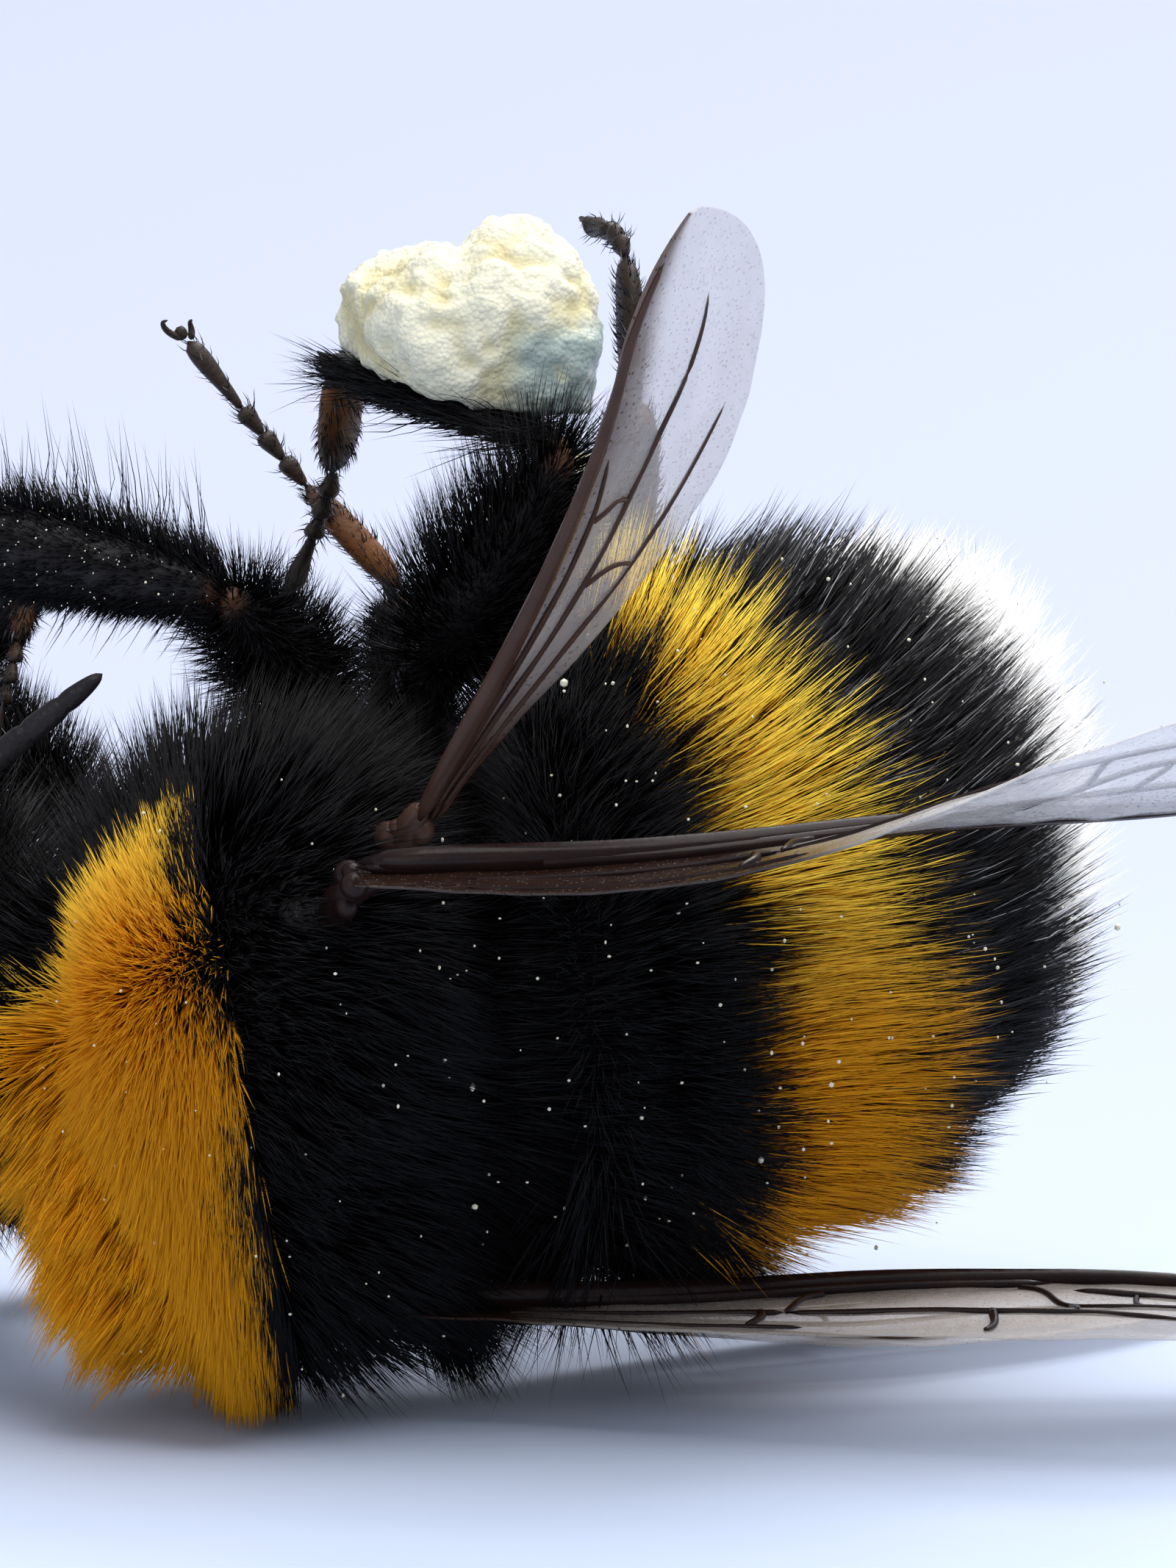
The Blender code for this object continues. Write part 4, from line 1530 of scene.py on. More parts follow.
        # Shorter on the belly, beside the right hind leg, at the tip and over the left wing, and
        # longer between the thorax and that wing.
        roots.length = 1 - 0.45 * ease(100, 150, np.abs(turn))
        roots.length *= 1 + 0.80 * (fade(0.8, 1.4, s) * ease(10, 60, -turn) * fade(100, 130, -turn))
        roots.length *= 1 - 0.30 * fade(1.0, 2.2, s) * ease(40, 80, turn)
        roots.length *= 1 - 0.40 * ease(7.0, 8.4, s)
        roots.length *= 1 - 0.50 * ease(1.2, 1.6, s) * ease(64, 82, -turn)
        marks = self.markings.bands(self.plan, Part.ABDOMEN, points, ragged=0.09)
        random = np.random.default_rng(seed + 500)
        edge = self.plan.abdomen.knots[2] - self.markings.band_shift
        odds = 0.34 * ease(edge - 0.50, edge - 0.05, s) + 0.02
        marks[:, 0] *= random.random(len(s)) > odds
        marks[:, 1] *= random.random(len(s)) > 0.02
        marks[:, :2] = np.round(marks[:, :2])
        return roots, marks

    def _thorax(self) -> None:
        """The collar, then the black of the thorax in an upper and a lower piece."""
        on = self.skin.part == Part.THORAX.value
        behind = self.markings.behind_collar(self.plan, self.vertices)
        turn = self.plan.thorax_turn(self.vertices)
        depth = self.plan.thorax[2] - self.vertices[:, 2]
        flanks = (turn > self.markings.collar_left - 14) & (turn < self.markings.collar_right + 12)
        in_collar = (behind < 0.18) & flanks
        belly = 1 - 0.35 * ease(110, 140, np.abs(turn))
        black = on * ~(in_collar & (behind < 0.0))
        worn = 1 - 0.6 * self._scutum(self.vertices)
        notch = ease(0.9, 2.6, depth) * ease(0.8, 1.8, behind)
        front = behind < self._parting(turn)
        for name, growth, side, seed in (
            ("coat_collar_front", self.collar_front, front, 30),
            ("coat_collar_rear", self.collar_rear, ~front, 31),
        ):
            weight = on * in_collar * self.thin * side
            self._piece(name, growth, weight, Slot.YELLOW_COAT, seed, self._lay_thorax)
        half = replace(self.thorax, strands=self.thorax.strands // 2)
        for name, side, seed in (
            ("coat_thorax_upper", depth < 0, 32),
            ("coat_thorax_lower", depth >= 0, 33),
        ):
            weight = black * side * self.thin * belly * worn * (1 + 1.2 * notch)
            self._piece(name, half, weight, Slot.BLACK_COAT, seed, self._lay_thorax)

    @staticmethod
    def _parting(turn: Array) -> Array:
        """Where the collar's hair parts: ahead of it the hair leans forward."""
        return -0.95 + 0.40 * fade(-45, -5, turn)

    def _scutum(self, points: Array) -> Array:
        """How bare the middle of the back is worn."""
        spot = self.plan.thorax + self.plan.thorax_half * np.array([0.33, -0.80, -0.36])
        return fade(0.5, 1.35, np.linalg.norm(points - spot, axis=1))

    def _lay_thorax(
        self, points: Array, normals: Array, growth: Growth, seed: int
    ) -> tuple[Roots, Array]:
        """Black hair that falls away from the parting, or the collar's, which stands in a ruff.

        Args:
            points: Places of the roots on the skin.
            normals: The skin's normals there.
            growth: How the strands grow.
            seed: The seed of the random draws.

        Returns:
            The roots, and the marks that give each strand its colour.
        """
        behind = self.markings.behind_collar(self.plan, points)
        turn = self.plan.thorax_turn(points)
        parting = self._parting(turn)
        rear = ease(-0.1, 0.1, behind - parting)
        low = ease(0.9, 2.6, self.plan.thorax[2] - points[:, 2])
        notch = low * ease(0.8, 1.8, behind) * fade(100, 125, np.abs(turn))
        length = 1 - 0.35 * self._scutum(points) - 0.25 * ease(110, 150, np.abs(turn))
        length *= 1 + 0.22 * ease(1.2, 2.6, behind) + 0.20 * low * ease(0.3, 1.6, behind) + 0.45 * notch
        length *= 1 - 0.22 * bell(behind, parting, 0.18)
        collar = growth in (self.collar_front, self.collar_rear)
        if collar:
            aim = unit((points - self.plan.thorax) * np.array([0.0, 1.0, 1.0]))
            forward = 0.22 - 0.28 * ease(-1.0, 0.0, behind) + 0.16 * ease(15, 60, turn)
            forward = rear[:, None] * forward[:, None] + (1 - rear[:, None]) * 0.85
            aim = aim + np.array([-1.0, 0.0, 0.0]) * forward
            aim = unit(aim - np.array([0.0, 0.0, 1.0]) * (0.10 + 0.62 * bell(turn, 4, 46))[:, None])
            flow = along_skin(aim, normals)
            slope = np.degrees(np.arcsin(np.clip(np.sum(aim * normals, axis=1), -1, 1)))
            length *= 1 + 0.25 * bell(behind - parting, 0.25, 0.25)
            length *= 1 - 0.20 * ease(35, 75, np.abs(turn + 8))
            length *= 1 + 0.42 * (1 - rear) * ease(10, 60, -turn)
            length *= 1 - 0.18 * rear * ease(70, 95, -turn)
        else:
            back = rear[:, None]
            lean = np.array([-1.0, 0.0, -0.35]) * (1 - back) + np.array([1.0, 0.0, -0.25]) * back
            lean = lean + np.array([0.0, 0.0, -1.0]) * notch[:, None]
            swirl = ripple(points, 2.2, 22)[:, None] * np.cross(normals, lean) * 0.35
            flow = along_skin(lean + swirl, normals)
            slope = -30 * ease(1.0, 2.6, behind) * (1 - notch)
            high = ease(52, 78, turn) * fade(110, 135, turn)
            length *= 1 + high * (0.10 + 0.25 * fade(-1.6, -0.4, behind))
        along = ((points - self.plan.thorax) / self.plan.thorax_half)[:, 0] / 2 + 0.5
        marks = self.markings.bands(self.plan, Part.THORAX, points, ragged=0.10)
        marks[:, :2] = np.round(marks[:, :2]) * collar
        return Roots(points, normals, flow, bake_place(turn / 360, along), length, slope), marks

    def _head(self) -> None:
        """Longer hair on the vertex and short hair on the face, which leave the clypeus bare."""
        on = self.skin.part == Part.HEAD.value
        ahead, down, side = self.plan.in_head(self.vertices).T
        clear_eye = fade(0.28, 0.42, np.abs(side) - (self.plan.eye_half_span - 0.95))
        back = 1 - 0.4 * ease(0.9, 1.4, -ahead)
        crown = np.maximum(fade(-0.75, -0.45, down), ease(0.15, 0.5, -ahead) * fade(0.9, 1.5, down))
        clypeus = np.hypot(side / 0.82, (down - 1.34) / 0.98)
        bare = 1 - 0.93 * fade(0.8, 1.05, clypeus) * ease(0.1, 0.5, ahead)
        for name, growth, weight, seed in (
            ("coat_head_top", self.vertex, on * crown * back * (0.25 + 0.75 * clear_eye), 41),
            ("coat_face", self.face, on * (1 - crown) * back * clear_eye * bare, 42),
        ):
            self._piece(name, growth, weight + 1e-9 * on, Slot.BLACK_COAT, seed, self._lay_head)

    def _lay_head(
        self, points: Array, normals: Array, growth: Growth, seed: int
    ) -> tuple[Roots, Array]:
        """Black hair that rises on the vertex and falls on the face.

        Args:
            points: Places of the roots on the skin.
            normals: The skin's normals there.
            growth: How the strands grow.
            seed: The seed of the random draws.

        Returns:
            The roots, and the marks that give each strand its colour.
        """
        ahead, down, side = self.plan.in_head(points).T
        rise = -self.plan.down * fade(-0.6, 0.4, down)[:, None]
        fall = self.plan.down * ease(-0.2, 0.8, down)[:, None]
        outward = np.sign(side)[:, None] * self.plan.across * 0.4
        flow = along_skin(rise + fall + outward + self.plan.ahead * 0.35, normals)
        turn = np.arctan2(side, ahead) / math.tau
        place = bake_place(turn, down / self.plan.face_length + 0.5)
        return Roots(points, normals, flow, place), np.zeros((len(points), 3))


# ---------------------------------------------------------------- the head's own pieces


@dataclass
class HeadPieces:
    """Eyes, ocelli, jaws, lip, tongue and feelers."""

    plan: BodyPlan
    shell: Material
    gloss: Material
    amber: Material
    ocellus: float = 0.115
    jaw_width: float = 0.25
    coat_depth: float = 0.34  # between the head's solid and its skin

    def build(self) -> None:
        """Makes every piece of the head that isn't skin or hair."""
        for word in ("left", "right"):
            self._eye(word)
            self._jaw(word)
            self._feeler(word)
        self._ocelli()
        self._lip()
        self._tongue()

    def _eye(self, word: str) -> None:
        """A compound eye, a long oval that narrows a little towards the mouth.

        Args:
            word: Which eye, left or right.
        """
        cloud = solid(f"eye_{word}")[0]
        centre = cloud.mean(axis=0)
        axes = np.linalg.svd(cloud - centre)[2]
        half = np.abs((cloud - centre) @ axes.T).max(axis=0)
        if axes[0] @ self.plan.down < 0:
            axes[0] = -axes[0]
        name = f"eye_{word}_dome"
        eye = ball(name, 48, 40)
        local = points_of(eye)
        taper = 1 - 0.10 * local[:, 2:3]
        move_to(eye, centre + np.hstack([local[:, 2:3], local[:, :2] * taper]) * half @ axes)
        activate(eye)
        bpy.ops.object.mode_set(mode="EDIT")
        bpy.ops.mesh.select_all(action="SELECT")
        bpy.ops.mesh.normals_make_consistent(inside=False)
        bpy.ops.object.mode_set(mode="OBJECT")
        finish(name, [eye], self.gloss, Slot.EYE, f"eye_{word}")

    def _surface(self, down: float, side: float) -> Array:
        """Where a line out of the face leaves the head's skin."""
        local = self.plan.in_head(solid("head")[0])
        near = np.argsort(np.hypot(local[:, 1] - down, local[:, 2] - side) - (local[:, 0] > 0) * 9)[:6]
        return self.plan.from_head(local[near, 0].mean() - self.coat_depth, down, side)

    def _ocelli(self) -> None:
        """Three small glassy domes in a flat triangle on the vertex."""
        domes = []
        for k, (down, side) in enumerate(HeadShape(self.plan).ocelli):
            dome = ball(f"ocellus_{k}", 16, 10)
            place = self._surface(down, side) + self.plan.ahead * 0.02
            move_to(dome, place + points_of(dome) * self.ocellus)
            domes.append(dome)
        finish("ocelli", domes, self.gloss, Slot.EYE)

    def _jaw(self, word: str) -> None:
        """A mandible: a curved blade with a blunt, spoon-like end.

        Args:
            word: Which jaw, left or right.
        """
        mirror = np.array([1, 1, 1 if word == "right" else -1])
        middle = self.plan.in_head(middle_of(f"jaw_{word}")[None])[0]
        reach = ((-0.12, -0.95, 0.24), (0.10, -0.10, 0.10), (0.14, 0.28, -0.04), (0.10, 0.50, -0.24))
        path = [self.plan.from_head(*(middle + np.array(r) * mirror)) for r in reach]
        width = [self.jaw_width * w for w in (0.9, 0.72, 0.86, 1.0, 0.55)]
        name = f"jaw_{word}_blade"
        blade = Limb(
            name, path, width, [w * 0.62 for w in width], self.plan.across, segments=18, rings=20,
            blunt=4, dish=0.3,
        ).build()
        finish(name, [blade], self.shell, Slot.SHELL, f"jaw_{word}")

    def _lip(self) -> None:
        """The labrum, a short flap under the clypeus."""
        jaws = np.mean([middle_of("jaw_left"), middle_of("jaw_right")], axis=0)
        ahead, down, _ = self.plan.in_head(jaws[None])[0]
        path = [self.plan.from_head(ahead + 0.12, down - drop, 0) for drop in (0.78, 0.50, 0.22)]
        broad, thin = (0.42, 0.46, 0.40, 0.25), (0.10, 0.12, 0.10, 0.06)
        lip = Limb("lip", path, broad, thin, self.plan.across, segments=20, rings=14, blunt=4).build()
        finish("lip", [lip], self.shell, Slot.SHELL)

    def _tongue(self) -> None:
        """The folded tongue: two sheaths beside a rod, tied back under the head."""
        cloud = solid("tongue")[0]
        line = np.linalg.svd(cloud - cloud.mean(axis=0))[2][0]
        line = line * np.sign(line @ -self.plan.ahead)
        reach = (cloud - cloud.mean(axis=0)) @ line
        stations = np.linspace(reach.min() + 0.2, reach.max() - 0.2, 5)
        path = np.array([cloud[np.abs(reach - r) < 0.35].mean(axis=0) for r in stations])
        path[0] = path[0] - (path[1] - path[0]) * 1.2
        parts = []
        for k, (aside, below, size) in enumerate(
            ((0.0, 0.06, 0.13), (0.13, -0.02, 0.11), (-0.13, -0.02, 0.11))
        ):
            shift = self.plan.across * aside + self.plan.down * below
            broad = [size, size * 1.1, size, size * 0.8, size * 0.4]
            parts.append(Limb(f"tongue_{k}", path + shift, broad, rings=24, blunt=6).build())
        finish("tongue_parts", parts, self.amber, Slot.TONGUE, "tongue")

    def _feeler(self, word: str) -> None:
        """Scape, pedicel and the ten rings of the whip.

        Args:
            word: Which feeler, left or right.
        """
        scape, whip = f"feeler_scape_{word}", f"feeler_whip_{word}"
        elbow = meeting(scape, whip)
        down, side = HeadShape(self.plan).socket_place
        root = self._surface(down, side if word == "right" else -side)
        inward = unit(root - elbow)
        root = root + inward * 0.10
        broad = (0.10, 0.085, 0.105, 0.12, 0.13, 0.12)
        rod = Limb(f"scape_{word}", (root, elbow), broad, rings=20, blunt=9).build()
        knuckle = ball(f"scape_knuckle_{word}", 14, 10)
        move_to(knuckle, root + inward * 0.02 + points_of(knuckle) * 0.13)
        finish(f"feeler_{word}_scape", [rod, knuckle], self.shell, Slot.SHELL, scape)
        tip = far_end(whip, elbow, 0.12)
        cloud = solid(whip)[0]
        line = unit(tip - elbow)
        reach = (cloud - elbow) @ line
        length = (tip - elbow) @ line
        near = [np.abs(reach - length * t) < length * 0.12 for t in np.linspace(0, 1, 6)[1:-1]]
        path = [elbow, *(cloud[station].mean(axis=0) for station in near), tip]
        broad = (0.10, 0.125, 0.14, 0.145, 0.145, 0.14, 0.11)
        rod = Limb(f"whip_{word}", path, broad, segments=16, rings=110, blunt=12, joints=11).build()
        finish(f"feeler_{word}_whip", [rod], self.shell, Slot.SHELL, whip)


# ---------------------------------------------------------------- legs


@dataclass(frozen=True)
class LegBuild:
    """What differs between the three pairs of legs; lengths in mm."""

    slim: float  # thickness
    stout: float  # extra thickness of the femur
    wide: tuple  # half width of the tibia, from the knee to the ankle
    deep: float  # its thickness as a share of that
    dish: float  # how hollow its outer face is
    spurs: tuple  # on which of its edges it ends in a spine
    basitarsus: tuple  # its share of the foot, and its half width
    mane: Growth  # hair of the femur
    lying: Growth  # hair that lies on the tibia
    edges: tuple  # strands along the tibia's edges: long ones, their length, and short ones


LEG_BUILDS = {
    "fore": LegBuild(
        0.85, 1.0, (0.17, 0.24, 0.28, 0.30, 0.27), 0.85, 0.0, (1,), (0.40, 0.15),
        Growth(2800, 0.64, 74, 56, gather=0.15), Growth(1500, 0.30, 24, 10), (90, 0.50, 700),
    ),
    "mid": LegBuild(
        1.0, 1.0, (0.19, 0.30, 0.38, 0.42, 0.34), 0.70, 0.0, (-1, 1), (0.44, 0.19),
        Growth(2800, 0.64, 74, 56, gather=0.15), Growth(3000, 0.30, 24, 10), (130, 1.08, 2000),
    ),
    "hind": LegBuild(
        1.12, 1.22, (0.20, 0.36, 0.52, 0.64, 0.58), 0.42, 0.55, (-1, 1), (0.46, 0.27),
        Growth(3600, 0.90, 64, 44, gather=0.18), Growth(900, 0.26, 22, 8), (420, 0.95, 700),
    ),
}
# The femur's half widths and half depths, of its belly and of its end.
FEMUR = (((0.22, 0.36, 0.40, 0.33), (0.26, 0.22)), ((0.20, 0.29, 0.31, 0.27), (0.23, 0.20)))
# Half widths along the coxa and the trochanter.
COXA = (0.55, 0.50, 0.42, 0.26)
TROCHANTER = (0.24, 0.30, 0.25)
TARSUS_STEPS = np.cumsum([0.19, 0.18, 0.17, 0.46])  # where the small joints of a foot end
# The hook of a claw: how far ahead, aside and down from its base.
CLAW = ((0.0, 0.0, 0.0), (0.13, 0.10, 0.0), (0.22, 0.12, 0.06), (0.22, 0.10, 0.17))


@dataclass
class Leg:
    """One leg as shell pieces thinner than its solids, with the hair that fills them out."""

    name: str
    plan: BodyPlan
    shell: Material
    foot: Material
    coat: Coat
    rootward: float = 1.15  # how far a coxa reaches in to the skin
    roots: list = field(default_factory=list)

    def __post_init__(self) -> None:
        """Reads the joints of the leg from its four solids."""
        self.nodes = [f"{self.name}_{word}" for word in ("coxa", "femur", "tibia", "foot")]
        coxa, femur, tibia, foot = self.nodes
        self.hip = meeting(coxa, femur)
        self.knee = meeting(femur, tibia)
        self.ankle = meeting(tibia, foot)
        self.claw = far_end(foot, self.ankle, 0.2)
        root = far_end(coxa, self.hip)
        self.root = root + unit(self.plan.thorax - root) * self.rootward
        cloud = solid(foot)[0]
        line = unit(self.claw - self.ankle)
        reach = (cloud - self.ankle) @ line / np.linalg.norm(self.claw - self.ankle)
        self.arch = cloud[np.abs(reach - 0.55) < 0.15].mean(axis=0)
        self.side, self.pair = self.name.split("_")
        self.make = LEG_BUILDS[self.pair]
        self.share = 1.0 if self.side == "right" else 0.6  # of the strands, fewer on the far side
        self.number = LEGS.index(self.name)
        self.shin = unit(self.ankle - self.knee)
        self.broad_way = self._broad_way(tibia)

    def _broad_way(self, tibia: str) -> Array:
        """Which way the tibia is broadest, across its length.

        Args:
            tibia: Its node.

        Returns:
            The direction.
        """
        cloud = solid(tibia)[0] - (self.ankle + self.knee) / 2
        cloud = cloud - np.outer(cloud @ self.shin, self.shin)
        way = np.linalg.svd(cloud)[2][0]
        if self.pair == "hind":
            load = middle_of(f"pollen_{self.side}") - (self.ankle + self.knee) / 2
            return way * np.sign(np.cross(self.shin, way) @ load)
        return way * (1 if way[2] > 0 else -1)

    def _limb(
        self, word: str, path: Sequence, broad: Sequence, thin: Sequence | None = None, **settings: object
    ) -> Piece:
        """One rod of the leg, turned as the tibia is.

        Args:
            word: What the rod is.
            path: Points that it runs through.
            broad: Half widths along it.
            thin: Half depths, if they differ.
            settings: What else the rod is given.

        Returns:
            The rod.
        """
        settings = {"segments": 16, "rings": 20, "blunt": 7, **settings}
        return Limb(f"{self.name}_{word}", path, broad, thin, self.broad_way, **settings).build()

    def _shell(self, place: int, *pieces: Piece, name: str = "") -> None:
        """Finishes the shell that stands for one of the leg's solids."""
        node = self.nodes[place]
        finish(name or f"{node}_shell", pieces, self.shell, Slot.SHELL, node)

    def build(self) -> None:
        """Makes the leg's pieces and gathers where its hair grows."""
        slim, stout = self.make.slim, self.make.slim * self.make.stout
        thigh = unit(self.knee - self.hip)
        bead = [self.hip - unit(self.hip - self.root) * 0.25, self.hip, self.hip + thigh * 0.45]
        trochanter = self._limb("trochanter", bead, [w * slim for w in TROCHANTER])
        coxa = self._limb("coxa", (self.root, self.hip), [w * slim for w in COXA])
        self._grow_on(coxa, self.root, self.hip, Growth(1100, 0.80, 58, 36, gather=0.25))
        self._shell(0, coxa, trochanter)
        bow = np.cross(thigh, self.broad_way) * 0.08
        sizes = [[*(w * stout for w in belly), *(w * slim for w in end)] for belly, end in FEMUR]
        femur = self._limb("femur", (self.hip, (self.hip + self.knee) / 2 + bow, self.knee), *sizes)
        self._grow_on(femur, self.hip, self.knee, self.make.mane)
        self._shell(1, femur, name=femur.name)
        deep = [w * self.make.deep + 0.03 for w in self.make.wide]
        shin = (self.knee, self.ankle)
        tibia = self._limb("tibia", shin, self.make.wide, deep, dish=self.make.dish, segments=20)
        self._grow_on(tibia, self.knee, self.ankle, self.make.lying)
        long, length, short = self.make.edges
        self._fringe(Growth(long, length, 78, 66, stray=0.15, gather=0.1), 0)
        self._fringe(Growth(short, 0.52, 68, 52, gather=0.2), 1)
        self._shell(2, tibia, *(self._spur(side) for side in self.make.spurs))
        self._foot()

    def _spur(self, side: int) -> Piece:
        """A small spine at the end of the tibia."""
        start = self.ankle - self.shin * 0.12 + self.broad_way * side * 0.14
        path = (start, start + self.shin * 0.22 + self.broad_way * side * 0.08, start + self.shin * 0.42)
        return self._limb(f"spur_{side + 1}", path, (0.045, 0.04, 0.025, 0.008), segments=8, rings=8)

    def _foot(self) -> None:
        """Basitarsus, four small joints, two claws and the pad between them."""
        first, flat = self.make.basitarsus
        edges = [0.0, first, *(first + (0.97 - first) * TARSUS_STEPS)]
        size = 0.098 * self.make.slim
        pieces = []
        for k, (low, high) in enumerate(zip(edges[:-1], edges[1:])):
            span = trace((self.ankle, self.arch, self.claw), np.linspace(low + 0.004, high + 0.012, 4))
            if k == 0:
                broad = [flat * w for w in (0.62, 0.95, 1, 0.92, 0.62)]
                thin = [flat * w for w in (0.5, 0.55, 0.5, 0.42)]
            else:
                broad = [size * w for w in (0.55, 0.8, 1.15, 1.25)]
                thin = [b * 0.8 for b in broad]
            pieces.append(self._limb(f"tarsus_{k}", span, broad, thin, rings=12, segments=12, blunt=5))
            self._grow_on(pieces[-1], span[0], span[-1], Growth(50 if k else 420, 0.20, 26, 14), 0.6)
        heading = unit(self.claw - self.arch)
        down = np.cross(heading, self.broad_way)
        for side in (-1, 1):
            base = self.claw - heading * 0.06 + self.broad_way * side * 0.05
            aside = self.broad_way * side
            hook = [base + heading * on + aside * out + down * drop for on, out, drop in CLAW]
            broad = (0.045, 0.038, 0.026, 0.008)
            pieces.append(self._limb(f"claw_{side + 1}", hook, broad, segments=8, rings=12, blunt=6))
        pad = (self.claw - heading * 0.04, self.claw + heading * 0.12)
        pieces.append(self._limb("pad", pad, (0.05, 0.07, 0.06), segments=10, rings=8))
        foot = join(f"{self.nodes[3]}_shell", pieces)
        points = keep_above(foot, 0.015)
        way = self.claw - self.ankle
        along = (points - self.ankle) @ way / (way @ way)
        # The left hind foot is darker along its whole length than the others.
        worn = 0.5 if self.name == "left_hind" else 0.0
        note(foot, "reach", np.column_stack([along + worn, along, along]))
        finish(foot.name, [foot], self.foot, Slot.FOOT, self.nodes[3])

    def _grow_on(self, piece: Piece, start: Array, end: Array, growth: Growth, brown: float = 0.0) -> None:
        """Notes the hair that grows on one rod, as many strands as the leg's side shows.

        Args:
            piece: The rod.
            start: Where it starts.
            end: Where it ends.
            growth: How the hair grows.
            brown: How brown it is.
        """
        seed = len(self.roots) + 100 * (self.number + 1)
        count = int(growth.strands * self.share)
        points, normals = scatter(piece, count, np.ones(len(piece.data.vertices)), seed)
        axis = unit(end - start)
        slant = ripple(points, 1.2, seed)[:, None] * 0.1 + np.cross(normals, axis) * 0.25
        flow = along_skin(np.tile(axis, (count, 1)) + slant, normals)
        along = (points - start) @ axis / np.linalg.norm(end - start)
        out = np.cross(axis, self.broad_way)
        turn = np.arctan2(normals @ out, normals @ self.broad_way) / math.tau
        self.roots.append((Roots(points, normals, flow, bake_place(turn, along)), growth, brown))

    def _fringe(self, growth: Growth, row: int) -> None:
        """Notes the hairs that stand along the two edges of the tibia.

        Args:
            growth: How the hairs grow.
            row: 0 for the long hairs, 1 for the short ones.
        """
        random = np.random.default_rng(7000 + self.number + 10 * row)
        count = int(growth.strands * self.share)
        out = np.cross(self.shin, self.broad_way)
        along = random.uniform(0.0, 0.93, count)
        side = np.where(random.random(count) < (0.5 if row else 0.66), 1.0, -1.0)
        edge = self.broad_way * side[:, None]
        width = trace(self.make.wide, along) * 0.90
        points = self.knee + along[:, None] * (self.ankle - self.knee)
        points = points + edge * width + out * random.normal(0, 0.07, (count, 1))
        normals = unit(edge + out * random.normal(0.15, 0.25, (count, 1)))
        turn = np.where(side > 0, 0.5, 0.02) + random.uniform(-0.01, 0.01, count)
        roots = Roots(points, normals, np.tile(self.shin, (count, 1)), np.column_stack([turn, along]))
        roots.length = np.where(side > 0, 1.0, 0.55) * (1 - 0.7 * ease(0.7, 0.95, along))
        self.roots.append((roots, growth, 0.0))

    def grow_hair(self) -> None:
        """Makes the leg's hair as one coat piece."""
        pieces = []
        for k, (roots, growth, brown) in enumerate(self.roots):
            row = (self.number * 10 + k) / 60
            roots.unwrap = np.column_stack([roots.unwrap[:, 0], row + roots.unwrap[:, 1] / 66])
            fine = replace(growth, strands=len(roots.points), rings=2, width=0.015, tuft=0.14, grey=brown)
            marks = np.zeros((len(roots.points), 3))
            pieces.append(self.coat.grow(f"hair_{self.name}_{k}", roots, fine, marks, 900 + k))
        finish(f"coat_leg_{self.name}", pieces, self.coat.material, Slot.BLACK_COAT)


@dataclass
class PollenLoad:
    """The moist lump that the bee packed on its hind leg."""

    side: str
    paste: Material
    lumps: tuple = ((0.62, 5, 0.16), (0.20, 8, 0.075), (0.09, 9, 0.03))  # size, seed and height

    def build(self) -> None:
        """Makes one load from its solid, with two lobes and crumbs pressed into it."""
        node, name = f"pollen_{self.side}", f"pollen_load_{self.side}"
        load = copy_of(name, node)
        modify(load, "REMESH", mode="VOXEL", voxel_size=0.10)
        modify(load, "SMOOTH", factor=0.5, iterations=5)
        modify(load, "SUBSURF", levels=1, render_levels=1)
        points, normals = points_of(load), normals_of(load)
        along, _, up = self._shares(points)
        sink = 0.20 * fade(0.34, 0.52, along) + 0.22 * bell(along, 0.47, 0.07)
        points[:, 2] -= sink * ease(0.35, 0.9, up)
        points[:, 2] -= 0.40 * fade(0.0, 0.6, up)
        points[:, 0] += (along - 0.42) * 0.30
        big, small, fine = (lumps(points, size, seed) for size, seed, _ in self.lumps)
        rise = big * self.lumps[0][2] + small * self.lumps[1][2] + fine * self.lumps[2][2] - 0.05
        move_to(load, points + normals * rise[:, None])
        along, _, up = self._shares(points)
        wax = ease(0.58, 0.76, along) * fade(0.42, 0.62, up)
        note(load, "paste", np.column_stack([wax, np.clip(0.4 - big - small * 0.5, 0, 1), up]))
        finish(name, [load], self.paste, Slot.POLLEN, node)

    @staticmethod
    def _shares(points: Array) -> Array:
        """Places in the points' box as shares of its three sides."""
        low, high = points.min(axis=0), points.max(axis=0)
        return ((points - low) / (high - low)).T


# ---------------------------------------------------------------- wings


WING_PATHS = {  # deepest chord, the front edge, and how the blade hangs from it at root and tip
    "forewing_right": (
        3.9,
        ((-2.40, -2.95, 6.18), (0.6, -2.95, 6.3), (3.6, -1.95, 6.45), (6.5, -0.8, 6.45), (10.0, 0.5, 6.75)),
        ((0.0, -0.98, -0.15), (0.0, -0.90, 0.44)),
    ),
    "forewing_left": (
        3.9,
        ((-2.1, -1.25, 1.25), (0.8, -0.75, 1.2), (3.8, -0.2, 1.25), (6.9, 0.1, 1.1), (10.3, 0.3, 0.02)),
        ((0.1, -0.99, 0.0), (0.0, -1.0, 0.06)),
    ),
    "hindwing_right": (
        2.5,
        ((-1.85, -1.9, 6.5), (-0.56, -3.2, 9.15), (0.22, -4.4, 11.3), (0.55, -5.5, 13.25)),
        ((0.72, 0.65, 0.1), (0.60, 0.76, 0.12)),
    ),
    "hindwing_left": (
        2.5,
        ((-1.3, 0.9, 0.72), (1.2, 2.6, 0.42), (3.9, 4.1, 0.28), (6.8, 5.4, 0.25)),
        ((0.5, -0.86, 0.0), (0.5, -0.86, 0.0)),
    ),
}
THORAX_IN_WING_PATHS = np.array([-3.25, -0.15])  # the thorax's middle where those paths are given
